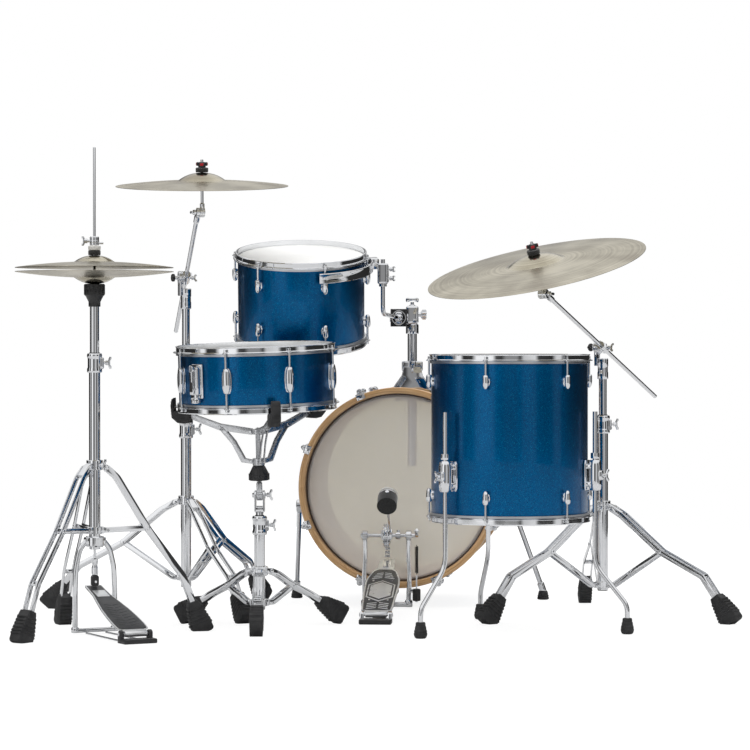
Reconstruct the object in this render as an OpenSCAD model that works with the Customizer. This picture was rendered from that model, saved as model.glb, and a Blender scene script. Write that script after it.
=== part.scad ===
// Four-piece acoustic drum kit with hi-hat, crash and ride cymbals.
// Millimetres. +X is the drummer's right, +Y points to the audience and +Z is up.
// The origin is on the floor under the middle of the kit.

/* [Bass drum] */
// Bass drum shell diameter
bass_d = 457; // [420:1:480]
// Bass drum shell depth
bass_depth = 356; // [330:1:380]
// Bass drum shell wall
bass_wall = 7; // [5:0.5:10]
// Thickness of the bass drum hoops
bass_hoop_t = 15; // [12:1:18]
// Width of the bass drum hoops
bass_hoop_w = 38; // [34:1:42]
// Height of the bass drum's axis
bass_z = 295; // [285:1:310]
// Lugs on each side of the bass drum
bass_lug_count = 8; // [6:1:10]

/* [Toms and snare] */
// Rack tom shell diameter
tom_d = 305; // [280:1:315]
// Rack tom shell depth
tom_depth = 203; // [180:1:220]
// Forward tilt of the rack tom
tom_tilt = 12; // [8:1:16]
// Floor tom shell diameter
floor_d = 356; // [340:1:360]
// Floor tom shell depth
floor_depth = 356; // [330:1:370]
// Snare drum shell diameter
snare_d = 356; // [345:1:360]
// Snare drum shell depth
snare_depth = 127; // [115:1:140]
// Wall of the tom and snare shells
shell_wall = 6; // [5:0.5:9]
// Height of the steel hoops
hoop_h = 15; // [13:0.5:18]
// Thickness of the steel hoops
hoop_t = 2.3; // [1.8:0.1:3]
// Diameter of the tension rods
rod_d = 5; // [4:0.25:6]

/* [Cymbals] */
// Hi-hat cymbal diameter
hihat_d = 356; // [330:1:368]
// Crash cymbal diameter
crash_d = 406; // [380:1:430]
// Ride cymbal diameter
ride_d = 508; // [480:1:520]
// Cymbal thickness
cymbal_t = 1.4; // [1:0.1:2.4]
// Open gap between the hi-hat cymbals
hihat_gap = 9; // [8:0.5:12]

/* [Hardware] */
// Outer diameter of the lower stand tubes
base_tube_d = 25.4; // [24:0.2:28]
// Outer diameter of the upper stand tubes
upper_tube_d = 19; // [17:0.5:20]
// Wall of the stand tubes
tube_wall = 1.2; // [1:0.1:1.5]
// Diameter of the boom rods
boom_d = 10; // [9:0.5:11]
// Width of the flat tripod strips
strip_w = 14; // [12:1:16]
// Thickness of the tripod strips
strip_t = 3; // [2:0.5:4]
// Gap between the two strips of one tripod leg
strip_gap = 18; // [16:1:20]
// Diameter of the floor tom legs
leg_d = 11; // [10:0.5:12]
// Diameter of the rack tom post
post_d = 23.4; // [22:0.2:25]
// Diameter of the hi-hat pull rod
pull_rod_d = 6; // [5:0.5:7]
// Diameter of the bass pedal's shaft
pedal_shaft_d = 10; // [9:0.5:12]

/* [Hidden] */
$fn = 64;

// Clearances: sliding and turning fits, free passages and seats
run_fit = 0.05;
free_gap = 0.6;
seat_gap = 0.3;
bend_swell = 0.2;

// Places of the units on the floor
hihat_at = [-646, -425];
crash_at = [-475, 125];
snare_at = [-280, -288];
ride_at = [531, 15];
floor_at = [291, -350];
bass_at = [42, 235];
bass_yaw = 6;
pedal_at = [14, 200];
pedal_yaw = 4;

// Middles of the tom's top hoop and of the two boom cymbals, with their tilt to the
// drummer and their roll to the left
tom_top = [-193, 45, 874];
crash_mid = [-422, -110, 1023];
crash_tilt = 6;
crash_roll = 0;
ride_mid = [355, -304, 826];
ride_tilt = 12;
ride_roll = 12;

// ---------------------------------------------------------------- helpers
function unit(v) = v / norm(v);
function side(v) = [-v.y, v.x];
function mitre(p, i) =
    let (a = unit(i == 0 ? p[1] - p[0] : p[i] - p[i - 1]),
         b = i == len(p) - 1 ? a : unit(p[i + 1] - p[i]),
         n = unit(side(a) + side(b)))
    n / (n * side(a));
// Outline of a flat strip of width w along the points p
function strip(p, w) = concat(
    [for (i = [0 : len(p) - 1]) p[i] + mitre(p, i) * w / 2],
    [for (i = [len(p) - 1 : -1 : 0]) p[i] - mitre(p, i) * w / 2]);
// A vector leaned by tilt towards -Y and then by roll towards -X
function leaned(v, tilt, roll) =
    let (a = [v.x, v.y * cos(tilt) - v.z * sin(tilt), v.y * sin(tilt) + v.z * cos(tilt)])
    [a.x * cos(roll) - a.z * sin(roll), a.y, a.x * sin(roll) + a.z * cos(roll)];

module along(p, q) {
    v = q - p;
    translate(p) rotate([0, acos(v.z / norm(v)), atan2(v.y, v.x)]) children();
}
module rod(p, q, d) {
    along(p, q) cylinder(d = d, h = norm(q - p));
}
module bar(p, q, w, t) {
    along(p, q) translate([-t / 2, -w / 2, 0]) cube([t, w, norm(q - p)]);
}
// A round bar through the points p, with a slightly larger ball in each bend
module bent_rod(p, d) {
    for (i = [0 : len(p) - 2]) rod(p[i], p[i + 1], d);
    for (i = [1 : len(p) - 2]) translate(p[i]) sphere(d = d + bend_swell);
}
module ring(d_out, d_in, h) {
    difference() {
        cylinder(d = d_out, h = h);
        translate([0, 0, -1]) cylinder(d = d_in, h = h + 2);
    }
}
module block(size) {
    translate([-size.x / 2, -size.y / 2, 0]) cube(size);
}
// A wing screw whose shaft leaves the origin along +X
module wing_screw(reach, wing) {
    rotate([0, 90, 0]) cylinder(d = 6, h = reach);
    translate([reach, -2.5, -wing / 2]) cube([11, 5, wing]);
}
module on_floor(at) {
    translate([at.x, at.y, 0]) children();
}

// ---------------------------------------------------------------- drums
film_t = 1;
collar_gap = 0.3;
collar_t = 0.7;
flesh_w = 3.5;
flesh_top = 3;
flesh_h = 6;
flange_w = 9;
flange_t = 2.5;
lip_w = 1.6;
rod_reach = 9;
lug_w = 13;
lug_barrel = 7;
lug_inset = 34;
lug_h = 30;
rod_head_d = 9;
rod_head_h = 8;
hoop_gap = 0.8;
ear_d = 13;

module drum_shell(d, depth, wall) {
    ring(d, d - 2 * wall, depth);
}

// One head on the top edge of a shell: film, collar and flesh hoop
module drum_head(d, depth) {
    outer = d + 2 * (collar_gap + collar_t);
    translate([0, 0, depth]) cylinder(d = outer, h = film_t);
    translate([0, 0, depth - flesh_top - flesh_h])
        ring(outer, d + 2 * collar_gap, flesh_top + flesh_h + film_t);
    translate([0, 0, depth - flesh_top - flesh_h]) ring(outer + 2 * flesh_w, outer - 0.2, flesh_h);
}

// One steel hoop that bears down on the flesh hoop, with an ear at each rod
module steel_hoop(d, depth, angles) {
    r_in = d / 2 + collar_gap + collar_t + hoop_gap;
    z0 = depth - flesh_top;
    difference() {
        union() {
            rotate_extrude($fn = 128) polygon([
                [r_in, z0], [r_in + flange_w, z0], [r_in + flange_w, z0 + flange_t],
                [r_in + hoop_t, z0 + flange_t], [r_in + hoop_t, z0 + hoop_h - hoop_t],
                [r_in + hoop_t + lip_w, z0 + hoop_h - hoop_t],
                [r_in + hoop_t + lip_w, z0 + hoop_h], [r_in, z0 + hoop_h]]);
            for (a = angles) rotate(a) translate([d / 2 + rod_reach, 0, z0])
                cylinder(d = ear_d, h = flange_t);
        }
        for (a = angles) rotate(a) translate([d / 2 + rod_reach, 0, z0 - 1])
            cylinder(d = rod_d + free_gap, h = flange_t + 2);
        translate([0, 0, z0 - 1]) cylinder(r = r_in, h = hoop_h + 2, $fn = 128);
    }
}

// One tension rod with its head on the hoop's flange and its end in the lug
module tension_rod(depth, end_z) {
    z0 = depth - flesh_top + flange_t;
    translate([0, 0, end_z + seat_gap]) cylinder(d = rod_d, h = z0 - end_z - seat_gap + 0.5);
    translate([0, 0, z0]) cylinder(d = rod_head_d, h = rod_head_h);
}

// One lug body on the shell, with a bore for each rod end
module lug(d, z, h, bores) {
    difference() {
        union() {
            translate([d / 2 + rod_reach, 0, z]) cylinder(r = lug_barrel, h = h);
            translate([d / 2 - 2, -lug_w / 2, z]) cube([rod_reach + 2, lug_w, h]);
        }
        translate([0, 0, z - 1]) cylinder(d = d, h = h + 2, $fn = 128);
        for (b = bores) translate([d / 2 + rod_reach, 0, b[0]]) cylinder(d = rod_d + 2 * run_fit, h = b[1]);
    }
}

lug_bite = 15;
// A short lug near the top edge of a shell, with its rod
module top_lug_set(d, depth, angles) {
    top = depth - lug_inset;
    for (a = angles) rotate(a) {
        lug(d, top - lug_h, lug_h, [[top - lug_bite, lug_bite + 1]]);
        translate([d / 2 + rod_reach, 0, 0]) tension_rod(depth, top - lug_bite);
    }
}
module both_ends(depth) {
    children();
    translate([0, 0, depth]) mirror([0, 0, 1]) children();
}

// ---------------------------------------------------------------- bass drum
bass_film_in = 28;
bass_flesh_h = 8;
bass_flesh_w = 8;
bass_shell_r = bass_d / 2;
bass_hoop_in = bass_shell_r + collar_gap + collar_t + 4;
bass_hoop_r = bass_hoop_in + bass_hoop_t;
bass_len = bass_depth + 2 * bass_film_in;
bass_angles = [for (i = [0 : bass_lug_count - 1]) 360 / bass_lug_count * (i + 0.5)];
post_t = 88;
post_side = 27;

// The bass drum lies along its local Z, from the batter hoop's face to the front
module in_bass() {
    translate([bass_at.x, bass_at.y, bass_z]) rotate([0, 0, -bass_yaw]) rotate([-90, 0, 0]) children();
}
module bass_shell() {
    color("#0d4f86") in_bass() difference() {
        translate([0, 0, bass_film_in]) ring(bass_d, bass_d - 2 * bass_wall, bass_depth, $fn = 128);
        translate([post_side, 0, post_t]) rotate([90, 0, 0]) cylinder(d = post_d + 2 * free_gap, h = bass_d);
    }
}
module bass_head() {
    in_r = bass_shell_r + collar_gap;
    out_d = 2 * (in_r + collar_t);
    translate([0, 0, bass_film_in - film_t]) cylinder(d = out_d, h = film_t, $fn = 128);
    translate([0, 0, bass_film_in - film_t])
        ring(out_d, 2 * in_r, bass_hoop_w + bass_flesh_h - bass_film_in + film_t, $fn = 128);
    translate([0, 0, bass_hoop_w]) ring(out_d + 2 * bass_flesh_w, out_d - 0.2, bass_flesh_h, $fn = 128);
}
module bass_batter_head() {
    color("#e8e6e0", 0.5) in_bass() bass_head();
}
module bass_resonant_head() {
    color("#cfc8b0") in_bass() translate([0, 0, bass_len]) mirror([0, 0, 1]) bass_head();
}
module bass_hoops() {
    color("#c8955a") in_bass() both_ends(bass_len)
        ring(2 * bass_hoop_r, 2 * bass_hoop_in, bass_hoop_w, $fn = 128);
}
claw_t = 3;
claw_w = 22;
claw_lip = 12;
claw_rod_r = bass_hoop_r + 1 + claw_t + rod_head_d / 2;
claw_len = bass_hoop_w + 6;
claw_boss = 14;
bass_lug_t = 96;
bass_lug_len = 26;
// One claw over the hoop's edge, its rod and the lug on the shell
module claw_set() {
    difference() {
        union() {
            translate([bass_hoop_r - claw_lip, -claw_w / 2, -claw_t])
                cube([claw_lip + 1 + claw_t, claw_w, claw_t]);
            translate([bass_hoop_r + 0.5, -claw_w / 2, -claw_t]) cube([claw_t, claw_w, claw_len + claw_t]);
            translate([claw_rod_r, 0, claw_len - claw_boss]) cylinder(d = rod_d + 6, h = claw_boss);
        }
        translate([claw_rod_r, 0, -1]) cylinder(d = rod_head_d + 2 * free_gap, h = claw_len - claw_boss + 1);
        translate([claw_rod_r, 0, claw_len - claw_boss - 1])
            cylinder(d = rod_d + free_gap, h = claw_boss + 2);
        cylinder(r = bass_hoop_r + 0.2, h = claw_len + 1, $fn = 128);
    }
    translate([claw_rod_r, 0, claw_len - claw_boss - seat_gap]) {
        translate([0, 0, -rod_head_h]) cylinder(d = rod_head_d, h = rod_head_h);
        cylinder(d = rod_d, h = bass_lug_t + lug_bite - claw_len + claw_boss);
    }
    difference() {
        union() {
            translate([claw_rod_r, 0, bass_lug_t]) cylinder(r = lug_barrel, h = bass_lug_len);
            translate([bass_shell_r - 2, -lug_w / 2, bass_lug_t])
                cube([claw_rod_r - bass_shell_r + 2, lug_w, bass_lug_len]);
        }
        translate([0, 0, bass_lug_t - 1]) cylinder(d = bass_d, h = bass_lug_len + 2, $fn = 128);
        translate([claw_rod_r, 0, bass_lug_t - 1]) cylinder(d = rod_d + 2 * run_fit, h = lug_bite + 1);
    }
}
module bass_lugs() {
    color("silver") in_bass() both_ends(bass_len) for (a = bass_angles) rotate(a) claw_set();
}

// Spur brackets, spurs and the post's mount on the shell
spur_t = 205;
spur_drop = 58;
spur_side = 272;
spur_d = 12;
spur_boss_d = 34;
spur_boss_w = 14;
spur_foot_d = 30;
spur_foot_h = 22;
spur_feet = [[-215, 500, 0], [413, 455, 0]];
post_mount_top = 608;
function bass_to_world(p) = let (c = cos(bass_yaw), s = sin(bass_yaw))
    [bass_at.x + p.x * c + p.z * s, bass_at.y - p.x * s + p.z * c, bass_z - p.y];
post_at = bass_to_world([post_side, 0, post_t]);

module bass_brackets() {
    color("silver") {
        in_bass() for (s = [-1, 1]) difference() {
            translate([s * (bass_shell_r - 30), spur_drop, spur_t]) rotate([0, s * 90, 0])
                cylinder(d = spur_boss_d, h = spur_side - spur_boss_w / 2 - bass_shell_r + 30);
            translate([0, 0, spur_t - 40]) cylinder(d = bass_d, h = 80, $fn = 128);
        }
        difference() {
            translate([post_at.x, post_at.y, bass_z]) union() {
                block([84, 52, bass_shell_r + 22]);
                cylinder(d = 40, h = post_mount_top - bass_z - 6);
                translate([0, 0, post_mount_top - bass_z - 26]) block([52, 34, 26]);
                translate([0, -17, post_mount_top - bass_z - 14]) rotate([0, 0, -90]) wing_screw(12, 22);
            }
            translate([post_at.x, post_at.y, bass_z - 1]) cylinder(d = post_d + 2 * run_fit, h = bass_d);
            in_bass() cylinder(d = bass_d, h = bass_len, $fn = 128);
        }
    }
}
module spur(s) {
    hub = bass_to_world([s * spur_side, spur_drop, spur_t]);
    foot = spur_feet[s < 0 ? 0 : 1];
    tip = foot + [0, 0, spur_foot_h];
    color("silver") {
        in_bass() translate([s * (spur_side - spur_boss_w / 2), spur_drop, spur_t])
            rotate([0, s * 90, 0]) cylinder(d = spur_boss_d, h = spur_boss_w);
        rod(hub + unit(tip - hub) * (spur_boss_d / 2 - 4), tip, spur_d);
    }
    color("#222") translate(foot) cylinder(d1 = spur_foot_d, d2 = spur_foot_d - 8, h = spur_foot_h);
}
module spur_left() { spur(-1); }
module spur_right() { spur(1); }

// ---------------------------------------------------------------- rack tom
tom_angles = [for (i = [0 : 5]) 60 * i - 68];
tom_low = 345;
post_top = 736;
post_head_z = 700;
ball_at = [-34, -18, 716];
ball_d = 30;
cheek_t = 5;
l_rod_d = 10.5;
l_rod_at = [4, 88];
l_rod_over = 10;
hanger_drop = 28;
hanger_h = 50;
hanger_top = tom_top.z - hanger_drop;
l_rod_low = ball_at.z + 8;
l_rod_top = hanger_top + l_rod_over;
susp_angle = 12;
band_drop = 24;
band_h = 24;
band_t = 3;

module in_tom() {
    translate(tom_top) rotate([tom_tilt, 0, 0])
        translate([0, 0, flesh_top - hoop_h - tom_depth]) children();
}
module tom_shell() {
    color("#0d4f86") in_tom() drum_shell(tom_d, tom_depth, shell_wall, $fn = 128);
}
module tom_heads() {
    color("white") in_tom() both_ends(tom_depth) drum_head(tom_d, tom_depth, $fn = 128);
}
module tom_hoops() {
    color("silver") in_tom() both_ends(tom_depth) steel_hoop(tom_d, tom_depth, tom_angles);
}
module tom_lugs() {
    color("silver") in_tom() both_ends(tom_depth) top_lug_set(tom_d, tom_depth, tom_angles);
}
// The post slides in the mount on the bass drum; its head holds the ball clamp
module tom_post() {
    color("silver") {
        translate([post_at.x, post_at.y, tom_low]) difference() {
            cylinder(d = post_d, h = post_top - tom_low);
            translate([0, 0, -1]) cylinder(d = post_d - 2 * tube_wall, h = post_top - tom_low - 30);
        }
        difference() {
            translate([post_at.x, post_at.y, 0]) {
                translate([0, 0, post_head_z - 22]) cylinder(d = post_d + 7, h = 22);
                translate([0, 0, post_head_z]) block([30, 34, 46]);
                translate([0, 0, post_head_z + 46]) cylinder(d = 8, h = 8);
                translate([0, 0, post_head_z + 54]) block([32, 7, 12]);
                translate([15, 0, post_head_z + 24]) wing_screw(8, 20);
            }
            translate([post_at.x, post_at.y, tom_low]) cylinder(d = post_d - 0.2, h = post_top - tom_low);
        }
    }
    cheek_x = ball_d / 2 + seat_gap;
    color("#222") translate([post_at.x, post_at.y, 0] + ball_at) {
        for (m = [0, 1]) mirror([m, 0, 0]) translate([cheek_x, -14, -22]) cube([cheek_t, 38, 44]);
        translate([-cheek_x - cheek_t, ball_d / 2 + 1, -22]) cube([2 * (cheek_x + cheek_t), 8, 44]);
    }
}
// The ball with the L-rod that the tom hangs on
module tom_arm() {
    ball = [post_at.x, post_at.y, 0] + ball_at;
    color("silver") {
        translate(ball) sphere(d = ball_d);
        bent_rod([ball, [l_rod_at.x, l_rod_at.y, l_rod_low], [l_rod_at.x, l_rod_at.y, l_rod_top]], l_rod_d);
    }
}
// A flat band under the top hoop, held by three rods, with the block that clamps the L-rod
module tom_suspension() {
    rod_edge = tom_d / 2 + rod_reach + rod_d / 2 + seat_gap;
    r = tom_d / 2 + rod_reach + ear_d / 2 + 2;
    band_z = tom_depth - band_drop;
    color("silver") difference() {
        union() {
            in_tom() {
                rotate(tom_angles[0] - 6) rotate_extrude(angle = tom_angles[2] - tom_angles[0] + 12, $fn = 128)
                    translate([r, band_z - band_h / 2]) square([band_t, band_h]);
                for (i = [0 : 2]) rotate(tom_angles[i])
                    translate([rod_edge, -7, band_z + 4]) cube([r - rod_edge + 1, 14, 5]);
                rotate(susp_angle) translate([r, -14, band_z - band_h / 2]) cube([18, 28, band_h]);
            }
            translate([l_rod_at.x, l_rod_at.y, hanger_top - hanger_h]) {
                block([26, 30, hanger_h]);
                translate([13, 0, 36]) wing_screw(5, 12);
                translate([13, 0, 14]) wing_screw(5, 12);
            }
        }
        translate([l_rod_at.x, l_rod_at.y, l_rod_low])
            cylinder(d = l_rod_d + 2 * run_fit, h = tom_top.z - l_rod_low);
    }
}

// ---------------------------------------------------------------- snare drum
snare_angles = [for (i = [0 : 7]) 45 * i - 64];
snare_tilt = 2;
snare_roll = 1.5;
snare_pivot_z = 305;
snare_lift = 208;
arm_angles = [-76, 44, 164];
strainer_angle = 225;

// Everything that rides on the snare stand's tilter
module in_basket() {
    translate([snare_at.x, snare_at.y, snare_pivot_z]) rotate([snare_tilt, -snare_roll, 0]) children();
}
module in_snare() {
    in_basket() translate([0, 0, snare_lift]) children();
}
module snare_shell() {
    color("#0d4f86") in_snare() drum_shell(snare_d, snare_depth, shell_wall, $fn = 128);
}
module snare_heads() {
    color("white") in_snare() both_ends(snare_depth) drum_head(snare_d, snare_depth, $fn = 128);
}
module snare_hoops() {
    color("silver") in_snare() both_ends(snare_depth) steel_hoop(snare_d, snare_depth, snare_angles);
}
snare_lug_h = 56;
module snare_lugs() {
    mid = snare_depth / 2;
    color("silver") in_snare() for (a = snare_angles) rotate(a) {
        lug(snare_d, mid - snare_lug_h / 2, snare_lug_h,
            [[mid - snare_lug_h / 2 - 1, lug_bite + 1], [mid + snare_lug_h / 2 - lug_bite, lug_bite + 1]]);
        both_ends(snare_depth) translate([snare_d / 2 + rod_reach, 0, 0])
            tension_rod(snare_depth, mid + snare_lug_h / 2 - lug_bite);
    }
}
wire_count = 20;
wire_pitch = 2.2;
wire_end_gap = 28;
wire_len = snare_d - 2 * wire_end_gap;
wire_d = 1.6;
wire_plate = [12, wire_count * wire_pitch + 4, 1.2];
// The row of wires under the bottom head, from the strainer to the butt
module snare_wires() {
    color("#ccc") in_snare() rotate(strainer_angle) translate([0, 0, -film_t - seat_gap]) {
        for (i = [0 : wire_count - 1])
            translate([-wire_len / 2, (i - (wire_count - 1) / 2) * wire_pitch, -wire_d / 2])
            rotate([0, 90, 0]) cylinder(d = wire_d, h = wire_len, $fn = 16);
        for (s = [-1, 1])
            translate([s * (wire_len / 2 + wire_plate.x / 2), 0, -wire_d / 2 - wire_plate.z / 2])
            block(wire_plate);
    }
}
strainer_w = 36;
strainer_out = 17;
lever_z = 92;
module snare_strainer() {
    r = snare_d / 2;
    color("silver") in_snare() {
        rotate(strainer_angle) difference() {
            union() {
                translate([r - 3, -strainer_w / 2, 24]) cube([strainer_out + 3, strainer_w, 78]);
                translate([r + 4, -12, 14]) cube([9, 24, 14]);
            }
            translate([0, 0, 10]) cylinder(d = snare_d, h = 100, $fn = 128);
        }
        rotate(strainer_angle + 180) difference() {
            translate([r - 3, -strainer_w / 2, 34]) cube([13, strainer_w, 52]);
            translate([0, 0, 30]) cylinder(d = snare_d, h = 70, $fn = 128);
        }
    }
}
lever_out = snare_d / 2 + strainer_out + seat_gap;
module strainer_lever() {
    color("silver") in_snare() rotate(strainer_angle) {
        translate([lever_out, 0, lever_z]) rotate([0, 90, 0]) cylinder(d = 16, h = 6);
        translate([lever_out, -6, lever_z - 58]) cube([5, 12, 58]);
    }
}

// Basket: knob, lower hub, middle tube, upper hub, three arms with braces and rubber grips
knob_z = 33;
hub_z = 68;
hub_h = 17;
upper_hub_z = 140;
upper_hub_h = 12;
basket_tube_d = 12;
basket_hub_d = 28;
arm_w = 15;
arm_t = 8;
grip_w = 24;
fork_gap = 14;
cheek_w = 5;
module snare_basket() {
    hoop_r = snare_d / 2 + collar_gap + collar_t + hoop_gap;
    hoop_low = snare_lift - hoop_h + flesh_top;
    hub_r = basket_hub_d / 2 + seat_gap;
    arm_end = [hoop_r - 13.5, hoop_low - 12];
    arm_root = [hub_r + 1, upper_hub_z + upper_hub_h / 2];
    brace_end = arm_root + 0.48 * (arm_end - arm_root) + [0, -4];
    color("silver") in_basket() {
        difference() {
            union() {
                translate([-fork_gap / 2, 0, 0]) rotate([0, 90, 0]) cylinder(d = 24, h = fork_gap);
                block([fork_gap, 20, knob_z - 2]);
                cylinder(d = basket_tube_d, h = upper_hub_z + upper_hub_h);
            }
            translate([-fork_gap, 0, 0]) rotate([0, 90, 0]) cylinder(d = 6 + 2 * run_fit, h = 2 * fork_gap);
        }
        translate([0, 0, hub_z]) ring(basket_hub_d, basket_tube_d + 2 * run_fit, hub_h);
        translate([0, 0, upper_hub_z]) ring(basket_hub_d, basket_tube_d + 2 * run_fit, upper_hub_h);
        for (a = arm_angles) rotate(a) rotate([90, 0, 0])
            translate([0, 0, -arm_t / 2]) linear_extrude(arm_t) {
            polygon(strip([arm_root, arm_end], arm_w));
            polygon(strip([[hub_r, hub_z + hub_h / 2], [34, hub_z + 12], [58, hub_z + 52], brace_end], 11));
        }
    }
    color("#222") in_basket() {
        difference() {
            union() {
                translate([0, 0, knob_z]) cylinder(d1 = 46, d2 = 44, h = 18);
                translate([0, 0, knob_z + 18]) cylinder(d1 = 44, d2 = 26, h = hub_z - knob_z - 18 - seat_gap);
            }
            cylinder(d = basket_tube_d + 2 * run_fit, h = hub_z);
        }
        for (a = arm_angles) rotate(a) difference() {
            translate([hoop_r - 12, -grip_w / 2, hoop_low - 26]) cube([40, grip_w, 60]);
            translate([hoop_r - 14, -grip_w, hoop_low]) cube([34, 2 * grip_w, 70]);
        }
    }
}
snare_base_top = 258;
snare_upper_d = 17;
snare_upper_low = 120;
fork_w = 22;
fork_low = snare_pivot_z - 41;
fork_base_h = 16;
module snare_stand_upper() {
    color("silver") on_floor(snare_at) {
        translate([0, 0, snare_upper_low]) cylinder(d = snare_upper_d, h = fork_low + 2 - snare_upper_low);
        difference() {
            union() {
                translate([0, 0, fork_low]) block([fork_gap + 2 * cheek_w, fork_w, fork_base_h]);
                for (m = [0, 1]) mirror([m, 0, 0]) translate([fork_gap / 2, 0, 0]) {
                    translate([0, -fork_w / 2, fork_low + 6])
                        cube([cheek_w, fork_w, snare_pivot_z - fork_low - 6]);
                    translate([0, 0, snare_pivot_z]) rotate([0, 90, 0]) cylinder(d = fork_w, h = cheek_w);
                }
            }
            translate([0, 0, snare_pivot_z]) rotate([snare_tilt, -snare_roll, 0])
                cube([fork_gap + 0.4, 40, 28], center = true);
        }
        translate([0, 0, snare_pivot_z]) rotate([snare_tilt, -snare_roll, 0]) {
            translate([-fork_gap / 2 - cheek_w - 2, 0, 0]) rotate([0, 90, 0])
                cylinder(d = 6, h = fork_gap + 2 * cheek_w + 4);
            translate([fork_gap / 2 + cheek_w + 2, 0, 0]) wing_screw(5, 24);
        }
    }
}

// ---------------------------------------------------------------- floor tom
floor_angles = [for (i = [0 : 5]) 60 * i - 109];
floor_z = 261;
leg_angles = [-138.2, -18, 101.8];
leg_stand_off = 22;
leg_splay = 75;
leg_r = floor_d / 2 + leg_stand_off;
leg_foot_r = leg_r + leg_splay;
leg_bend_z = 155;
leg_low_z = 64;
leg_top = 500;
leg_tip_h = 36;
leg_tip_d = 30;
bracket_z = 322;
bracket_h = 69;
bracket_w = 40;
bracket_out = 14;
bracket_in = 4;
module in_floor_tom() {
    translate([floor_at.x, floor_at.y, floor_z]) children();
}
module floor_tom_shell() {
    color("#0d4f86") in_floor_tom() drum_shell(floor_d, floor_depth, shell_wall, $fn = 128);
}
module floor_tom_heads() {
    color("white") in_floor_tom() both_ends(floor_depth) drum_head(floor_d, floor_depth, $fn = 128);
}
module floor_tom_hoops() {
    color("silver") in_floor_tom() both_ends(floor_depth) steel_hoop(floor_d, floor_depth, floor_angles);
}
module floor_tom_lugs() {
    color("silver") in_floor_tom() both_ends(floor_depth) top_lug_set(floor_d, floor_depth, floor_angles);
}
module floor_tom_brackets() {
    color("silver") on_floor(floor_at) for (a = leg_angles) rotate(a) {
        difference() {
            translate([floor_d / 2 - bracket_in, -bracket_w / 2, bracket_z])
                cube([leg_stand_off + bracket_out + bracket_in, bracket_w, bracket_h]);
            translate([0, 0, bracket_z - 1]) cylinder(d = floor_d, h = bracket_h + 2, $fn = 128);
            translate([leg_r, 0, bracket_z - 1]) cylinder(d = leg_d + 2 * run_fit, h = bracket_h + 2);
        }
        translate([leg_r + bracket_out, 0, bracket_z + bracket_h / 2]) wing_screw(8, 26);
    }
}
module floor_leg(i) {
    on_floor(floor_at) rotate(leg_angles[i]) {
        color("silver") bent_rod([[leg_r, 0, leg_top], [leg_r, 0, leg_bend_z], [leg_foot_r, 0, leg_low_z],
            [leg_foot_r, 0, leg_tip_h + seat_gap]], leg_d);
        color("#222") translate([leg_foot_r, 0, 0]) {
            cylinder(d1 = leg_tip_d - 10, d2 = leg_tip_d, h = 10);
            translate([0, 0, 10]) cylinder(d1 = leg_tip_d, d2 = leg_tip_d - 8, h = leg_tip_h - 10);
        }
    }
}
module floor_tom_leg_left() { floor_leg(0); }
module floor_tom_leg_right() { floor_leg(1); }
module floor_tom_leg_rear() { floor_leg(2); }

// ---------------------------------------------------------------- tripods
// Each tripod: place, tube diameter, top collar height, hub height, leg directions and the
// outline of a leg as points [radius, height] from the collar to the foot
hihat_tripod = [hihat_at, base_tube_d, 380, 225, [16, 113, 235],
    [[26, 374], [50, 352], [120, 236], [202, 126], [226, 62]]];
crash_tripod = [crash_at, base_tube_d, 271, 75, [166, -64, 60],
    [[26, 266], [60, 248], [160, 166], [278, 104], [314, 60]]];
snare_tripod = [snare_at, base_tube_d, 131, 50, [-90, 30, 150],
    [[26, 130], [46, 122], [86, 94], [128, 74], [160, 54]]];
ride_tripod = [ride_at, base_tube_d, 265, 66, [-38, -143, 93],
    [[26, 260], [60, 242], [168, 160], [284, 108], [322, 58]]];
tripods = [hihat_tripod, crash_tripod, snare_tripod, ride_tripod];
boot_len = 70;
boot_top = 30;
boot_low = 50;
boot_w = 30;
hub_lug = 9;
collar_h = 22;
tripod_hub_h = 16;
ground_cut = [1200, 200, 100];

module tripod_legs() {
    color("silver") for (t = tripods) on_floor(t[0]) for (a = t[4]) rotate(a) rotate([90, 0, 0])
        for (s = [-1, 1]) translate([0, 0, s * (strip_gap + strip_t) / 2 - strip_t / 2])
            linear_extrude(strip_t) polygon(strip(t[5], strip_w));
}
module tripod_braces() {
    color("silver") for (t = tripods) on_floor(t[0]) for (a = t[4]) rotate(a) rotate([90, 0, 0]) {
        root = [t[1] / 2 + hub_lug + seat_gap, t[3] + tripod_hub_h / 2];
        translate([0, 0, -strip_gap / 2]) linear_extrude(strip_gap)
            polygon(strip([root, root + [8, 0], t[5][2]], strip_w - 2));
    }
}
module tripod_collars() {
    color("silver") for (t = tripods) on_floor(t[0]) {
        difference() {
            union() {
                translate([0, 0, t[2] - collar_h / 2]) cylinder(d = t[1] + 12, h = collar_h);
                for (a = t[4]) rotate(a) rotate([90, 0, 0]) translate([0, 0, -strip_gap / 2])
                    linear_extrude(strip_gap) polygon(strip([[0, t[2]], t[5][0] + [0, 2], t[5][1]], 12));
                rotate(t[4][0] - 60) translate([t[1] / 2 + 5, 0, t[2]]) wing_screw(10, 26);
            }
            translate([0, 0, t[2] - collar_h]) cylinder(d = t[1] + 2 * run_fit, h = 2 * collar_h);
        }
        difference() {
            union() {
                translate([0, 0, t[3]]) rotate(t[4][0] + 45) cylinder(d = t[1] + 10, h = tripod_hub_h);
                for (a = t[4]) rotate(a) rotate([90, 0, 0]) translate([t[1] / 2 + 2, t[3], -strip_gap / 2])
                    cube([hub_lug - 2, tripod_hub_h, strip_gap]);
            }
            translate([0, 0, t[3] - 1]) cylinder(d = t[1] + 2 * run_fit, h = tripod_hub_h + 2);
        }
    }
}
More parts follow.
